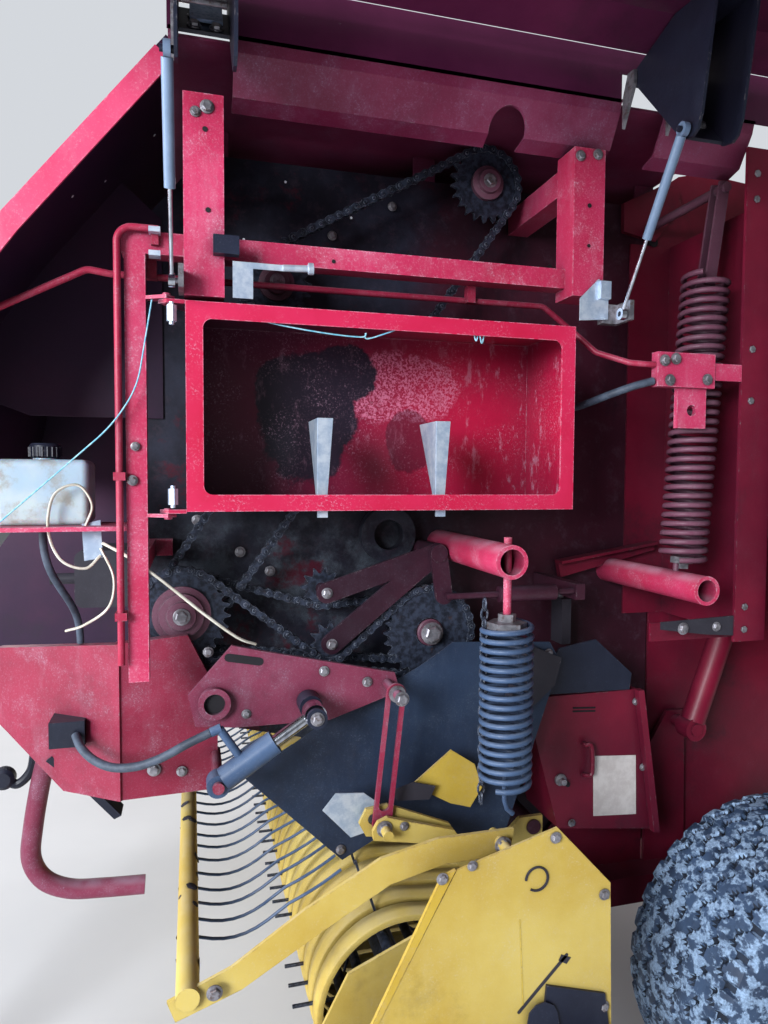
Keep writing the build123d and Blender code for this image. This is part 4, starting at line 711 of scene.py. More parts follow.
def add_chain(heap, pins, y_low):
    """Plates in turn inside and outside, with a roller and a riveted pin at each joint."""
    middle = y_low + CHAIN_WIDE / 2
    for i, pin in enumerate(pins):
        after = pins[(i + 1) % len(pins)]
        gap, end = (5.5, 9.6) if i % 2 else (8.6, 10.4)
        outline = link_outline(pin, after, end, PLATE_WAIST)
        for low in (middle - gap - PLATE_T, middle + gap):
            heap.prism(outline, low, low + PLATE_T, side_lift)
        heap.lathe(at(pin[0], middle - 5.5, pin[1]), (0, 1, 0), in_metres(ROLLER), 10)
        heap.lathe(at(pin[0], middle - 13.5, pin[1]), (0, 1, 0), in_metres(RIVET), 8)


def add_sprocket(heap, wheel, pins, y_low, y_high, bore):
    """A toothed wheel whose teeth stand between the chain's rollers."""
    x, z, radius, way = wheel
    teeth = round(2 * pi * radius / CHAIN_PITCH)
    on_wheel = [pin for pin in pins if abs(hypot(pin[0] - x, pin[1] - z) - radius) < 1]
    phase = atan2(on_wheel[0][1] - z, on_wheel[0][0] - x) if on_wheel else 0
    step = 2 * pi / teeth
    outline = []
    for k in range(teeth):
        for share, height in TOOTH:
            outline += round_points(x, z, radius + height, [phase + (k + share) * step])
    count = len(outline)
    inner = round_points(x, z, bore, [t + phase for t in turns_of(count)])
    points = [side_lift(u, v, w) for ring in (outline, inner) for w in (y_low, y_high) for u, v in ring]
    faces = []
    for i in range(count):
        n = (i + 1) % count
        faces.append((i, n, 2 * count + n, 2 * count + i))
        faces.append((count + i, count + n, 3 * count + n, 3 * count + i))
        faces.append((i, n, count + n, count + i))
        faces.append((2 * count + i, 2 * count + n, 3 * count + n, 3 * count + i))
    heap.add(points, faces)


def build_chains():
    """Three roller chains with their sprockets, idlers and hubs on the left side."""
    links, toothed, idlers, hubs, bolts = (Heap() for _ in range(5))
    for y_low, wheels in CHAIN_RUNS.values():
        pins = chain_pins(wheels)
        add_chain(links, pins, y_low)
        for wheel in wheels:
            target = idlers if wheel[2] == IDLER_R else toothed
            add_sprocket(target, wheel, pins, y_low + 4, y_low + 14, wheel[2] * 0.32)
    # The drive shaft's stepped hub, the main roll's big nut, the upper shafts' nuts
    steps = [(0, 66), (10, 66), (12, 52), (22, 50), (24, 34), (31, 32), (33, 14)]
    hubs.lathe(at(1558, 756, 1390), (0, 1, 0), in_metres(steps), 40)
    bolts.bolt(at(1558, 788, 1390), (0, 1, 0), 13 * MM)
    hubs.lathe(at(953, 756, 1318), (0, 1, 0), in_metres([(0, 34), (6, 34), (8, 30), (18, 30)]), 32)
    bolts.bolt(at(953, 773, 1318), (0, 1, 0), 19 * MM)
    for x, z in ((1336, 2168), (800, 2460)):
        hubs.lathe(at(x, 726, z), (0, 1, 0), [(0, 0.042), (0.012, 0.042), (0.016, 0.030), (0.026, 0.028)], 28)
        bolts.bolt(at(x, 750, z), (0, 1, 0), 12 * MM)
    for x, z in ((1209, 1305), (1221, 1430)):
        bolts.bolt(at(x, 776, z), (0, 1, 0), 9 * MM)
    chain = links.make("roller_chains", "oiled", "chain_steel")
    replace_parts(chain, "drive_chains")
    wheel_piece = toothed.make("toothed_wheels", "oiled", "chain_steel")
    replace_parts(wheel_piece, "sprockets")
    idlers.make("idler_wheels", "oiled", "chain_steel")
    hubs.make("wheel_hubs", "red_spring", "red_paint")
    bolts.make("drive_bolts", "plated", "zinc")


# Springs

def helix(start, end, radius, turns, per_turn=20):
    """Points of a coil wound about the line from start to end."""
    start, end = Vector(start), Vector(end)
    axis = (end - start).normalized()
    across = axis.orthogonal().normalized()
    up = axis.cross(across)
    count = int(turns * per_turn)
    route = []
    for k in range(count + 1):
        turn = 2 * pi * k / per_turn
        route.append(start + (end - start) * (k / count) + (across * cos(turn) + up * sin(turn)) * radius)
    return route


LIFT_SPRING_X, LIFT_SPRING_Y = 868, 1030
BELT_SPRING_Y = 920
BELT_EYE_X, BELT_EYE_Z = 252, 2432


def build_springs():
    """Close-wound lift springs with their hooks, and belt springs between a stub and two straps."""
    grey, red, plugs = Heap(), Heap(), Heap()
    for side in BOTH:
        x, y = LIFT_SPRING_X, side * LIFT_SPRING_Y
        grey.tube(helix(at(x, y, 1034), at(x, y, 1388), 0.0535, 17.5), 0.0064, 8)
        plugs.lathe(at(x, y, 1378), (0, 0, 1), in_metres([(0, 44), (16, 44), (18, 20), (34, 20)]), 6)
        hook = [at(x, y, z) for z in (1050, 1020, 995)]
        hook += [at(x - 6, y, 975), at(x - 20, y + 2 * side, 962)]
        grey.tube(hook, 0.006, 8)
        y = side * BELT_SPRING_Y
        red.tube(helix(at(336, y, 1506), at(288, y, 2214), 0.052, 31), 0.0072, 8)
        plug, above = at(337, y, 1484), at(336, y, 1512)
        plugs.lathe(plug, above - plug, [(0, 0.018), (0.012, 0.018), (0.014, 0.030), (0.030, 0.030)], 6)
        slab = [(273, 2190), (303, 2192), (267, 2447), (252, 2449), (237, 2443)]
        for y_low in (902, 930):
            sheet_piece(red, slab, y_low, y_low + 6, (side,))
        red.tube([at(BELT_EYE_X, side * 626, BELT_EYE_Z), at(BELT_EYE_X, side * 945, BELT_EYE_Z)], 0.012, 14)
        red.tube([at(354, y, 1478), at(352, y, 1512)], 0.008, 10)
    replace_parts(grey.make("lift_coils", "grey_spring", "grey_paint", smooth=50), "lift_springs")
    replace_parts(red.make("belt_coils", "red_spring", "red_paint", smooth=50), "belt_springs")
    plugs.make("spring_plugs", "plated", "zinc")


# Tyres

TYRE_Y = 1010
TYRE_R = 0.425
SHOULDER_R = 0.400
TREAD_HALF = 0.168
TREAD_AROUND = 360
TREAD_REPEATS = 36
TREAD_DEEP = 0.013
GROOVES = (-0.132, -0.080, -0.027, 0.027, 0.080, 0.132)
GROOVE_HALF = 0.0052
GROOVE_SWAY = 0.026
NOTCH_SHARE = 0.22
NOTCH_DEEP = TREAD_DEEP * 0.8


def build_tyre(name, side):
    """A flotation tyre: zigzag grooves round the tread, notched shoulders, a plain bulged wall."""
    centre = at(0, side * TYRE_Y, TYRE_R / MM)
    # Distance across and radius; none where the crown and its grooves give it
    wall = [(-0.175, 0.216), (-0.192, 0.240), (-0.199, 0.290), (-0.197, 0.340), (-0.187, 0.380),
            (-0.176, SHOULDER_R)]
    profile = wall + [(-TREAD_HALF + 2 * TREAD_HALF * k / 48, None) for k in range(49)]
    profile += [(-across, radius) for across, radius in reversed(wall)]
    points = []
    sunk = set()
    for i in range(TREAD_AROUND):
        turn = 2 * pi * i / TREAD_AROUND
        share = (i * TREAD_REPEATS / TREAD_AROUND) % 1
        wave = abs(share * 2 - 1) - 0.5
        for across, radius in profile:
            if radius is None:
                radius = TYRE_R - 0.022 * (abs(across) / 0.171) ** 2.4
                if any(abs(across - groove - wave * GROOVE_SWAY) < GROOVE_HALF for groove in GROOVES):
                    radius -= TREAD_DEEP
                    sunk.add(len(points))
                elif abs(across) > 0.140 and share < NOTCH_SHARE:
                    radius -= NOTCH_DEEP
                    sunk.add(len(points))
            elif radius == SHOULDER_R and share < NOTCH_SHARE:
                radius -= NOTCH_DEEP
            points.append(centre + Vector((cos(turn) * radius, across, sin(turn) * radius)))
    heap = Heap()
    heap.skin(points, len(profile), True)
    # Sunk faces take the near-black groove finish: painted shade in grooves and notches
    heap.second = {k for k, face in enumerate(heap.faces) if sum(corner in sunk for corner in face) >= 3}
    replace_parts(heap.make(f"{name}_treaded_tyre", "tyre", "tyre_rubber", f"{name}_wheel", 28), f"{name}_tyre")


# The pickup's bands and the crop guard's wires

TINES = 30
TINE_PITCH = 66
BAND_X, BAND_Z, BAND_R = 1085, 555, 202
# A band's section: across and out
BAND_SECTION = [(-25, -14), (-25, -3), (-22, 0.2), (-9, 1.4), (-7, 2.8), (7, 2.8), (9, 1.4), (22, 0.2),
                (25, -3), (25, -14), (23, -14), (22, -3), (0, -1), (-22, -3), (-23, -14)]
GUARD_X, GUARD_Z = 1545, 752


def build_pickup():
    """Ribbed bands between the tines, and the crop guard's drooping wires."""
    bands, wires = Heap(), Heap()
    turns = [radians(100 - 6 * k) for k in range(31)]
    path = [(851, 735)] + round_points(BAND_X, BAND_Z, BAND_R, turns) + [(851, 364)]
    for i in range(TINES + 1):
        y = TINE_PITCH * (i - TINES / 2)
        points = []
        for k, here in enumerate(path):
            before, after = path[max(k - 1, 0)], path[min(k + 1, len(path) - 1)]
            dx, dz = after[0] - before[0], after[1] - before[1]
            size = hypot(dx, dz)
            nx, nz = -dz / size, dx / size
            points += [at(here[0] + nx * out, y + across, here[1] + nz * out) for across, out in BAND_SECTION]
        bands.skin(points, len(BAND_SECTION))
    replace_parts(bands.make("stripper_bands", "yellow", "yellow_paint", "pickup", 50), "pickup_bands")

    rng = random.Random(7)
    for i in range(TINES - 1):
        y = TINE_PITCH * (i - (TINES - 2) / 2) + rng.uniform(-5, 5)
        sway = rng.uniform(-8, 8)
        route = []
        for k in range(15):
            share = k / 14
            droop = 26 * sin(pi * min(share * 1.6, 1))
            z = GUARD_Z - 24 + 96 * share ** 2.2 - droop + sway * share
            route.append(at(GUARD_X - 330 * share, y + sway * share, z))
        wires.tube(route, 0.0036, 6)
    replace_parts(wires.make("guard_tines", "grey_spring", "zinc", "guard", 60), "guard_wires")


# Sheets, fasteners and small fittings

# Faces that look sideways, by their distance from the middle
WALL_FACE = 619
DOOR_FACE = 790
POST_FACE = 981
PICKUP_FACE = 1190


def sheet_piece(heap, outline, y_low, y_high, sides=BOTH):
    """A flat plate in the side view, on one side or both."""
    for side in sides:
        low, high = sorted((side * y_low, side * y_high))
        heap.prism(outline, low, high, side_lift)


def box_piece(heap, x0, x1, y0, y1, z0, z1, sides=BOTH):
    sheet_piece(heap, [(x0, z0), (x1, z0), (x1, z1), (x0, z1)], y0, y1, sides)


def knob(heap, x, y, z, profile, facets, sides=BOTH):
    """A turned form that stands out sideways; its profile is in metres."""
    for side in sides:
        heap.lathe(at(x, side * y, z), (0, side, 0), profile, facets)


def stud(heap, x, y, z, profile, facets):
    """A turned form that stands up, on both sides; its profile is in metres."""
    for side in BOTH:
        heap.lathe(at(x, side * y, z), (0, 0, 1), profile, facets)


def spot(heap, x, y, z, radius, thick=0.8):
    """A round hole or disc on a face that looks sideways."""
    knob(heap, x, y, z, [(0, radius * MM), (thick * MM, radius * MM)], 16)


def side_bolt(heap, x, y, z, size):
    for side in BOTH:
        heap.bolt(at(x, side * y, z), (0, side, 0), size * MM)


def slot_outline(p, q, half):
    """A slot's outline, round at both ends."""
    return link_outline(p, q, half, half)


# Bolts: body, face's distance from the middle, then x, z, half width of the head
BOLTS = {
    "frame": [
        (POST_FACE, [(1500, 2432, 9), (1522, 2420, 7)]),
        (POST_FACE, [(680, 2438, 8), (636, 2446, 8)]),
        (1004, [(222, 1340, 8), (222, 1396, 8), (222, 1900, 8), (222, 2024, 8), (222, 2380, 8),
                (222, 2440, 8), (395, 1350, 10), (300, 1350, 8)]),
        (948, [(1648, 1700, 7), (1642, 1768, 6)]),
        (WALL_FACE, [(1521, 1600, 9), (1416, 1518, 9), (1341, 1467, 9), (1180, 2330, 8), (1020, 2420, 8),
                     (760, 2280, 8)]),
        (792, [(372, 1105, 7), (345, 920, 7), (312, 772, 7), (560, 790, 7)]),
        (825, [(655, 1262, 8), (640, 1220, 8), (1096, 870, 8), (1196, 820, 8)]),
        (1013, [(470, 1985, 9), (440, 1990, 9), (455, 1940, 9), (352, 1945, 9)]),
        (803, [(1620, 1050, 10), (1560, 1040, 8), (1500, 1310, 8), (1660, 1300, 8)]),
    ],
    "lift_shaft": [(863, [(1244, 1265, 8), (1142, 1233, 8), (1420, 1180, 7)])],
    "pickup": [
        (1191, [(1072, 935, 8), (1010, 952, 7), (830, 985, 8), (716, 850, 8), (712, 610, 8), (1180, 420, 8)]),
        (1202, [(858, 560, 10), (842, 500, 10)]),
        (964, [(1126, 930, 12), (1080, 930, 7), (900, 820, 8)]),
        (932, [(1100, 930, 6)]),
    ],
    "guard": [(1151, [(927, 962, 12), (1500, 760, 10)])],
    "tailgate": [(1042, [(100, 2500, 8), (100, 1900, 8), (100, 1400, 8), (-600, 1010, 8), (-1060, 2130, 8),
                         (-1180, 1300, 8), (-400, 2560, 8)])],
}


def build_fasteners():
    """Hexagon bolts on both sides of every body in the table."""
    for body, rows in BOLTS.items():
        heap = Heap()
        for y, places in rows:
            for x, z, size in places:
                side_bolt(heap, x, y, z, size)
        heap.make(f"{body}_bolts", "plated", "zinc", body)


LINK_PITCH = 0.021
LINK_WIRE = 0.0028
LINK_HALF = 0.0072


def chain_links(heap, route):
    """A hanging chain of oval links along a route, each turned a quarter from the last."""
    lengths = [0]
    for p, q in zip(route, route[1:]):
        lengths.append(lengths[-1] + (q - p).length)
    count = int(lengths[-1] / LINK_PITCH)
    for i in range(count):
        goal = lengths[-1] * (i + 0.5) / count
        k = max(j for j in range(len(route) - 1) if lengths[j] <= goal)
        ahead = (route[k + 1] - route[k]).normalized()
        here = route[k] + ahead * (goal - lengths[k])
        across = ahead.cross(Vector((1, 0, 0))).normalized()
        if i % 2:
            across = ahead.cross(across)
        turns = [2 * pi * n / 10 for n in range(10)]
        ring = [here + ahead * (LINK_PITCH * 0.66 * cos(t)) + across * (LINK_HALF * sin(t)) for t in turns]
        heap.tube(ring, LINK_WIRE, 5, closed=True)


def curve(points, steps=8):
    """A smooth route through points given in millimetres (Catmull and Rom's spline)."""
    spots = [at(*p) for p in points]
    spots = [spots[0] * 2 - spots[1]] + spots + [spots[-1] * 2 - spots[-2]]
    route = []
    for a, b, c, d in zip(spots, spots[1:], spots[2:], spots[3:]):
        for k in range(steps):
            t = k / steps
            route.append(0.5 * (2 * b + (c - a) * t + (2 * a - 5 * b + 4 * c - d) * t ** 2
                                + (3 * b - a - 3 * c + d) * t ** 3))
    route.append(spots[-2])
    return route


HINGE_Y, HINGE_Z = 1030, 2600
HANGER_LEAN = radians(-8)
RAIL_X0, RAIL_X1 = 180, 1574
# A hanger's gusset, its top and its washer plate: out from the hinge and up, before the hanger leans
GUSSET = [(-14, -14), (-12, 8), (16, 20), (128, 72), (250, 78), (245, -150), (238, -178), (225, -188),
          (195, -186), (20, -30)]
HANGER_TOP = [(128, 72), (250, 78), (250, 72), (128, 66)]
WASHER_PLATE = [(30, -25), (80, -70), (84, -66), (34, -21)]
GUSSET_T = 6
# Hangers: the strut's x, where the web ends, and how far along it the rows of bolts sit
HANGERS = [(1568, (100, -96), (0.16, 0.34)), (590, (197, -182), (0.16, 0.42, 0.72))]


def build_shield_mounts():
    """Hinge rail on the roof, the shields' folded hangers and their bolts."""
    rail = Heap()
    box_piece(rail, RAIL_X0, RAIL_X1, 996, 1000, HINGE_Z + 22, 2672)
    for x0, x1 in ((RAIL_X0, 470), (590, 1448), (1566, RAIL_X1)):
        box_piece(rail, x0, x1, 996, 1000, HINGE_Z - 40, HINGE_Z + 22)
    rail.make("shield_hinge_rail", "red_shield", "red_paint")
    for name, side in (("left", 1), ("right", -1)):
        body = f"{name}_shield"
        plates, bolts, zinc = Heap(), Heap(), Heap()

        def lift(d, n, x, side=side):
            out, up = cos(HANGER_LEAN), sin(HANGER_LEAN)
            return at(x, side * (HINGE_Y + d * out - n * up), HINGE_Z + d * up + n * out)

        for strut_x, (d, n), rows in HANGERS:
            rear, front = strut_x - 105, strut_x - 17
            for x in (front, rear - GUSSET_T):
                plates.prism(GUSSET, x, x + GUSSET_T, lift)
            plates.prism([(26, -34), (d - 2, n - 2), (d + 2, n + 3), (30, -29)], rear, front, lift)
            plates.prism(HANGER_TOP, rear, front, lift)
            for share in rows:
                for x in (strut_x - 82, strut_x - 44):
                    d, n = 30 + 169 * share, -29 - 150 * share
                    bolts.bolt(lift(d, n, x), lift(d + 15, n + 17, x) - lift(d, n, x), 0.0085)
            zinc.prism(WASHER_PLATE, strut_x - 94, strut_x - 36, lift)
            plates.lathe(at(strut_x - 16, side * 1215, 2400), (1, 0, 0), [(0, 0.006), (0.028, 0.006)], 16)
        plates_piece = plates.make(f"{name}_folded_hangers", "black", "black_paint", body)
        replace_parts(plates_piece, f"{name}_shield_hangers")
        bolts.make(f"{name}_hanger_bolts", "plated", "zinc", body)
        zinc.make(f"{name}_hanger_washers", "zinc", "zinc", body)


def build_hood():
    """The hood's edge flanges in a lighter red painted as lit, pale discs painted as daylight seen through its
    holes, and the guard behind it in the hood's near-black red, painted shade.
    """
    dark, day, rim = Heap(), Heap(), Heap()
    guard = [(1655, 1030), (1655, 1960), (1990, 1960), (2040, 1900), (2060, 1640), (2210, 1420), (2260, 1030)]
    sheet_piece(dark, guard, 300, 304, (-1,))
    # The guard takes the hood's near-black red: painted shade
    dark.make("driveline_guard", "hood", "red_paint")
    lean = Vector((0.79, 0, 0.61))
    # Pale discs on the hood and the wall: painted daylight where light would show through holes
    for x, y, z in ((1615, 673, 2505), (1720, 707, 2375), (1777, 791, 2304), (1765, 586, 2318),
                    (1880, 576, 2175), (1839, 370, 2227)):
        day.lathe(at(x, y, z) - lean * 0.0045, lean, [(0, 0.0035), (0.0006, 0.0035)], 10)
    for x, z in ((1300, 2452), (1130, 2380), (1404, 2300)):
        knob(day, x, WALL_FACE, z, [(0, 0.0032), (0.0008, 0.0032)], 16, LEFT)
    day.make("light_holes", "daylight", "grey_paint")
    edge = [(1596, 2535), (1874, 2189), (2014, 1992), (2079, 1701), (2038, 1692), (1976, 1975), (1841, 2164),
            (1563, 2509)]
    # The flanges take the hood's lighter red, painted as lit
    sheet_piece(rim, edge, 976, 982)
    rim.make("hood_edges", "hood_edge", "red_paint")


CAP_X, CAP_Y, CAP_Z = 1830, 820, 1745
CAP_R = 0.031
RIBS = 20


def build_front():
    """The bent stay, the tank's ribbed cap, latches, the boxes' hinge pins and clips, the valve's lever."""
    stay, black, zinc = Heap(), Heap(), Heap()
    stay.tube(curve([(1671, 350, 536), (1790, 350, 543), (1872, 350, 553), (1936, 350, 588), (1968, 350, 652),
                     (1962, 350, 740), (1942, 350, 860), (1921, 350, 953), (1908, 350, 1060)], 6), 0.026, 18)
    stay.make("stay_tube", "plum_dust", "red_paint", smooth=60)
    cap = [(0, 0.026), (0.004, CAP_R), (0.026, CAP_R), (0.031, 0.027)]
    black.lathe(at(CAP_X, CAP_Y, CAP_Z), (0, 0, 1), cap, 28)
    for k in range(RIBS):
        turn = 2 * pi * k / RIBS
        centre = at(CAP_X, CAP_Y, CAP_Z + 3) + Vector((cos(turn), sin(turn), 0)) * CAP_R
        black.lathe(centre, (0, 0, 1), [(0, 0.0022), (0.020, 0.0022)], 6)
    box_piece(black, 1440, 1490, POST_FACE, 1003, 2146, 2182)
    box_piece(black, 1768, 1842, 688, 774, 1106, 1164)
    strap = [(1700, 905), (1780, 1000), (1850, 1062), (1862, 1052), (1790, 985), (1716, 898)]
    sheet_piece(black, strap, 640, 700, LEFT)
    lever = [(1938, 300, 985), (1962, 300, 940), (1975, 300, 880), (2010, 300, 846), (2044, 300, 866)]
    black.tube(curve(lever), 0.013, 10)
    black.lathe(at(2044, 280, 866), (0, 1, 0), [(0, 0.02), (0.008, 0.03), (0.032, 0.03), (0.04, 0.02)], 20)
    black.make("front_black_pieces", "black", "black_paint", smooth=35)
    # Latches on the posts
    latch = [(1452, 2066), (1412, 2066), (1412, 2126), (1352, 2126), (1352, 2138), (1452, 2138)]
    sheet_piece(zinc, latch, POST_FACE, POST_FACE + 3)
    sheet_piece(zinc, [(1712, 1540), (1748, 1534), (1752, 1610), (1716, 1618)], 884, 888, LEFT)
    bolt = in_metres([(0, 7), (50, 7), (52, 12), (62, 12)])
    zinc.lathe(at(1352, 984, 2132), (-1, 0, 0.05), bolt, 10)
    for z in (2140, 2186):
        box_piece(zinc, 1590, 1612, 947, 972, z, z + 10)
    rear_latch = [(676, 2070), (604, 2076), (604, 2152), (630, 2166), (676, 2120)]
    sheet_piece(zinc, rear_latch, POST_FACE, POST_FACE + 4)
    box_piece(zinc, 604, 630, POST_FACE + 4, 996, 2120, 2160)
    # The box's hinge pins, and the folded strips that hold its balls of twine apart
    for z in (2030, 1668):
        stud(zinc, 1570, 972, z - 16, [(0, 0.010), (0.032, 0.010)], 6)
        stud(zinc, 1570, 972, z - 22, [(0, 0.005), (0.044, 0.005)], 8)
    for x in (1010, 1275):
        for side in BOTH:
            def from_back(u, v, w, side=side):
                return at(w, side * (958 + u), v)

            zinc.prism([(0, 1642), (0, 1834), (-118, 1834), (-3, 1642)], x - 4.6, x + 1.6, from_back)
            clip = [(x + 1, 1642), (x - 18, 1642), (x - 32, 1834), (x + 1, 1834)]
            sheet_piece(zinc, clip, 954, 959.5, (side,))
            zinc.prism([(0, 1623), (6, 1623), (6, 1637), (0, 1637)], x - 20, x + 2, from_back)
    zinc.make("zinc_plates", "zinc_bright", "zinc")


def build_side_trim():
    """Door furniture, flap, folded plates and strap on the machine's sides; holes, slots and bores shown as
    near-black plates, painted shade.
    """
    dark, red, grey, black, zinc, label = (Heap() for _ in range(6))
    for z in (1092, 1101):
        # Near-black slots, holes and spots: painted shade in the openings
        sheet_piece(dark, slot_outline((560, z), (496, z - 4), 2.2), DOOR_FACE, DOOR_FACE + 1)
    sheet_piece(dark, slot_outline((584, 905), (572, 895), 7), DOOR_FACE, DOOR_FACE + 1)
    sheet_piece(label, [(498, 965), (367, 955), (362, 790), (494, 800)], DOOR_FACE, DOOR_FACE + 0.9)
    for side in BOTH:
        grip = [(530, 792, 1004), (530, 806, 1004), (516, 812, 1000), (514, 812, 930), (528, 806, 922),
                (530, 792, 920)]
        red.tube(curve([(x, side * y, z) for x, y, z in grip], 4), 0.006, 8)
    knob(zinc, 596, DOOR_FACE, 912, [(0, 0.016), (0.006, 0.016), (0.010, 0.008), (0.024, 0.008)], 12)
    sheet_piece(red, [(360, 1140), (378, 1140), (318, 742), (300, 742)], DOOR_FACE + 1, 812)
    flap = [(653, 1196), (610, 1266), (503, 1284), (392, 1186), (398, 1142), (640, 1146)]
    sheet_piece(black, flap, 795, 800)
    sheet_piece(grey, [(716, 1290), (622, 1250), (640, 1180), (715, 1119), (770, 1160)], 830, 834)
    sheet_piece(grey, [(716, 1290), (723, 1288), (776, 1162), (770, 1158)], 826, 850)
    sheet_piece(red, [(528, 1472), (216, 1520), (213, 1500), (520, 1428)], WALL_FACE, 640)
    sheet_piece(red, [(528, 1476), (216, 1526), (215, 1518), (528, 1468)], WALL_FACE, 660)
    sheet_piece(grey, [(456, 1368), (205, 1376), (203, 1322), (330, 1332), (456, 1350)], 1001, 1005)
    box_piece(grey, 520, 548, 640, 700, 1250, 1376)
    stud(zinc, 534, 668, 1376, [(0, 0.008), (0.03, 0.008), (0.034, 0.005), (0.05, 0.005)], 8)
    spot(dark, 226, WALL_FACE, 2400, 14)
    spot(dark, 560, WALL_FACE, 2300, 8)
    for x, z, radius in ((1504, 2389, 5), (1499, 2234, 5), (655, 2330, 5), (655, 2240, 4)):
        spot(dark, x, POST_FACE, z, radius)
    spot(dark, 1240, 945, 2166, 4)
    dark.make("shaded_openings", "bore_shade", "black_paint")
    red.make("side_trim", "red_dirt_and_shade", "red_paint")
    grey.make("folded_plates", "cast", "grey_paint")
    black.make("flaps", "black", "black_paint")
    zinc.make("door_catches", "plated", "zinc")
    label.make("blank_panels", "blank_panel", "grey_paint")


# Thin lines that lie on the left side: radius in metres, then their points
GREASE_LINES = [
    (0.0032, [(1712, 888, 1570), (1660, 930, 1545), (1600, 935, 1500), (1510, 925, 1420), (1440, 905, 1362),
              (1400, 880, 1340)]),
    (0.003, [(1744, 892, 1606), (1730, 900, 1650), (1756, 905, 1690), (1800, 905, 1670), (1812, 905, 1600),
             (1790, 905, 1540), (1745, 900, 1520), (1716, 892, 1545)]),
    (0.0028, [(1716, 890, 1560), (1690, 905, 1500), (1700, 905, 1440), (1750, 880, 1400), (1790, 860, 1385)]),
]
BOX_STRING = [
    (0.0016, [(1490, 972, 2046), (1380, 970, 2024), (1270, 970, 2010), (1185, 968, 2006), (1175, 970, 2014),
              (1168, 966, 2004), (1090, 972, 2032)]),
    (0.0016, [(930, 968, 2034), (924, 970, 2012), (918, 972, 2028), (910, 970, 2008), (902, 968, 2036)]),
]


def build_lines():
    """Grease lines, the string in the box and the chain that hangs in front of the wall."""
    cream, string, chain = Heap(), Heap(), Heap()
    for radius, points in GREASE_LINES:
        cream.tube(curve(points), radius, 6)
    cream.make("grease_lines", "line_cream", "grey_paint", smooth=60)
    for radius, points in BOX_STRING:
        string.tube(curve(points), radius, 5)
    string.make("box_string", "twine", "zinc", smooth=60)
    chain_links(chain, [at(908, 1000, 1440), at(914, 1006, 1200), at(916, 1010, 985)])
    chain.make("hanging_chain", "oiled", "chain_steel", smooth=40)


def build_pickup_trim():
    """The pickup shield's worn edge, tears, ring mark and brackets, and the guard's peeled paint."""
    strip, dark, black, zinc, ring, grey, peel = (Heap() for _ in range(7))
    fold = [(1044, 948), (1072, 938), (1316, 466), (1309, 468)]
    sheet_piece(strip, fold, PICKUP_FACE - 7, PICKUP_FACE + 1.5)
    # Tears as thin dark plates on the face: painted shade where the sheet is torn open
    sheet_piece(dark, slot_outline((800, 735), (905, 634), 3.5), PICKUP_FACE, PICKUP_FACE + 0.9)
    sheet_piece(dark, [(812, 738), (790, 728), (800, 716), (818, 726)], PICKUP_FACE, PICKUP_FACE + 0.9)
    sheet_piece(strip, slot_outline((906, 825), (896, 640), 1.0), PICKUP_FACE, PICKUP_FACE + 0.8)
    sheet_piece(black, [(846, 682), (712, 640), (700, 560), (860, 540)], PICKUP_FACE, PICKUP_FACE + 6)
    sheet_piece(black, slot_outline((842, 500), (858, 620), 34), PICKUP_FACE + 10, PICKUP_FACE + 13)
    for side in BOTH:
        turns = [2 * pi * k / 32 for k in range(28)]
        circle = [at(870 + 24 * cos(t), side * (PICKUP_FACE + 0.6), 905 + 24 * sin(t)) for t in turns]
        ring.tube(circle, 0.0028, 5)
    galvanised_plate = [(1255, 960), (1225, 996), (1160, 990), (1122, 960), (1121, 905), (1190, 890)]
    sheet_piece(zinc, galvanised_plate, 905, 908)
    sheet_piece(grey, [(1090, 985), (1040, 1000), (985, 985), (1000, 955), (1080, 960)], 900, 904)
    sheet_piece(strip, [(1038, 985), (940, 1060), (880, 1020), (860, 960), (890, 915), (940, 930)], 880, 886)
    strip.make("folded_edges", "yellow_worn", "yellow_paint", "pickup")
    dark.make("tears", "cast", "black_paint", "pickup")
    black.make("pickup_black_brackets", "black", "black_paint", "pickup")
    zinc.make("pickup_zinc_plates", "zinc_bright", "zinc", "pickup")
    ring.make("ring_marks", "cast", "black_paint", "pickup", 60)
    grey.make("dusty_guards", "cast", "grey_paint", "pickup")
    rng = random.Random(3)
    for _ in range(40):
        y = rng.uniform(-1100, 1100)
        turn = rng.uniform(0, 2 * pi)
        size = rng.uniform(0.008, 0.03)
        centre = at(GUARD_X + 3 + 21.6 * cos(turn), y, GUARD_Z + 21.6 * sin(turn))
        peel.lathe(centre, (cos(turn), 0, sin(turn)), [(0, size * 0.5), (0.0009, size * 0.45)], 7)
    peel.make("peeled_paint", "cast", "black_paint", "guard", 40)


def build_lift_trim():
    """Slots and bores of the lift levers as near-black plates, painted shade, and the cylinders' clevises and
    pins.
    """
    dark, black, zinc = Heap(), Heap(), Heap()
    # Near-black slot and bore: painted shade in the openings
    sheet_piece(dark, slot_outline((1458, 1309), (1390, 1296), 9), 862, 863)
    knob(dark, 1489, 868, 1211, [(0, 0.0228), (0.001, 0.0228)], 24)
    dark.make("lever_openings", "bore_shade", "black_paint", "lift_shaft")
    knob(black, 1282, 985, 1200, [(0, 0.022), (0.010, 0.022)], 20)
    knob(black, 1282, 866, 1200, [(0, 0.026), (0.050, 0.026)], 24)
    side_bolt(zinc, 1282, 995, 1200, 10)
    side_bolt(zinc, 1094, 985, 1226, 11)
    knob(zinc, 1094, 946, 1226, [(0, 0.019), (0.006, 0.019)], 20)
    black.make("clevis_cheeks", "black", "black_paint", "lift_shaft")
    zinc.make("lever_bolts", "plated", "zinc", "lift_shaft")


# Stage

FLOOR_REACH = 30
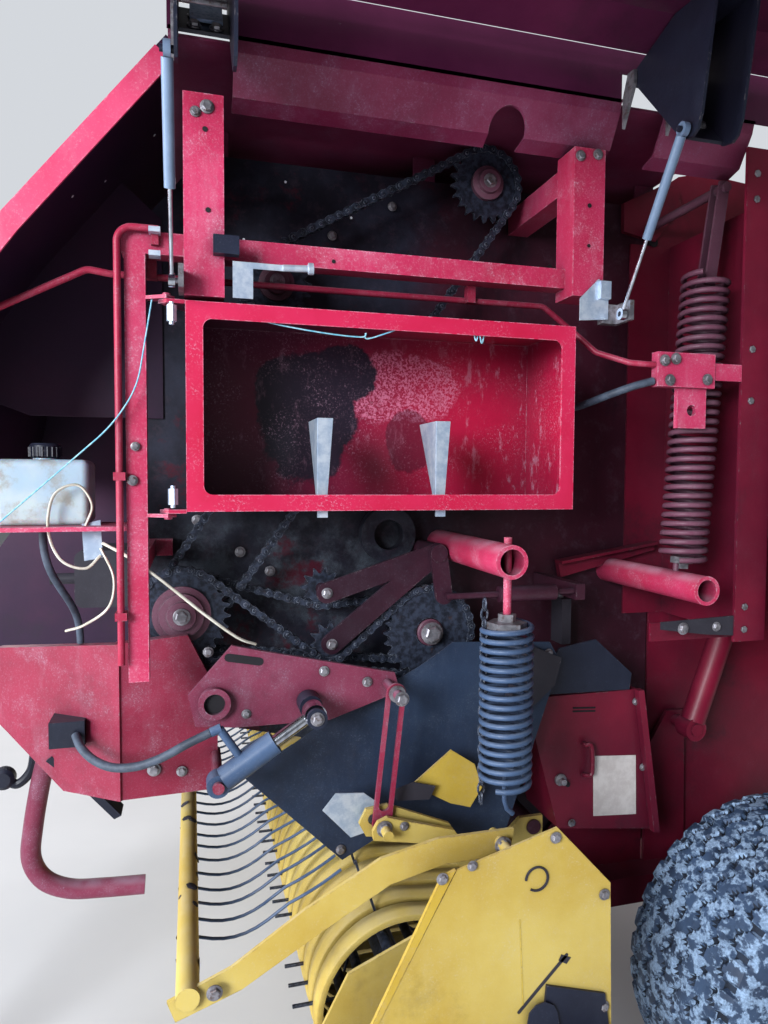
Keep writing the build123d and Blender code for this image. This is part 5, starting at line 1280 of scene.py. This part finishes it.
# Soft lamps: place, what they look at, width, power in watts, colour
LAMPS = [
    ("key", (4.6, 5.0, 3.0), (0.2, 0.6, 1.5), 2.6, 520, (0.90, 0.94, 1.0)),
    ("front", (6.0, 1.4, 2.4), (0.6, 0.3, 1.4), 2.6, 260, (0.88, 0.94, 1.0)),
    ("back", (-6.0, -4.5, 5.0), (-0.4, 0, 1.3), 4.0, 320, (1.0, 0.98, 0.95)),
    ("right", (2.0, -6.5, 4.0), (0, -0.4, 1.3), 4.0, 260, (1.0, 0.98, 0.96)),
]
# The surround's strength as light, and as the camera sees it
SKY_LIGHT = 0.24
SKY_SEEN = 0.85


def build_stage():
    """A pale floor, soft lamps and a pale surround."""
    floor_mesh = bpy.data.meshes.new("floor")
    corners = [(x * FLOOR_REACH, y * FLOOR_REACH, 0) for x, y in ((-1, -1), (1, -1), (1, 1), (-1, 1))]
    floor_mesh.from_pydata(corners, [], [(0, 1, 2, 3)])
    floor = bpy.data.objects.new("floor", floor_mesh)
    bpy.context.scene.collection.objects.link(floor)
    f = Finish("floor_finish", 0.85)
    f.colour(f.blend(f.noise(3, 3), (206, 206, 208), (214, 214, 216)))
    floor_mesh.materials.append(f.material)
    for name, place, goal, size, power, colour in LAMPS:
        light = bpy.data.lights.new(name, "AREA")
        light.shape = "DISK"
        light.size = size
        light.energy = power
        light.color = colour
        lamp = bpy.data.objects.new(name, light)
        bpy.context.scene.collection.objects.link(lamp)
        lamp.location = place
        lamp.rotation_euler = (Vector(goal) - Vector(place)).to_track_quat("-Z", "Y").to_euler()
    world = bpy.data.worlds.new("surround")
    bpy.context.scene.world = world
    world.use_nodes = True
    nodes, links = world.node_tree.nodes, world.node_tree.links
    background = nodes["Background"]
    rays = nodes.new("ShaderNodeLightPath")
    strength = nodes.new("ShaderNodeMapRange")
    strength.inputs["To Min"].default_value = SKY_LIGHT
    strength.inputs["To Max"].default_value = SKY_SEEN
    links.new(rays.outputs["Is Camera Ray"], strength.inputs["Value"])
    links.new(strength.outputs["Result"], background.inputs["Strength"])
    background.inputs["Color"].default_value = rgb(228, 232, 238)
    bpy.context.scene.view_settings.view_transform = "Standard"


make_camera()
paint_nodes()
build_chains()
build_springs()
build_tyre("left", 1)
build_tyre("right", -1)
build_pickup()
build_shield_mounts()
build_hood()
build_front()
build_side_trim()
build_lines()
build_pickup_trim()
build_lift_trim()
build_fasteners()
build_stage()
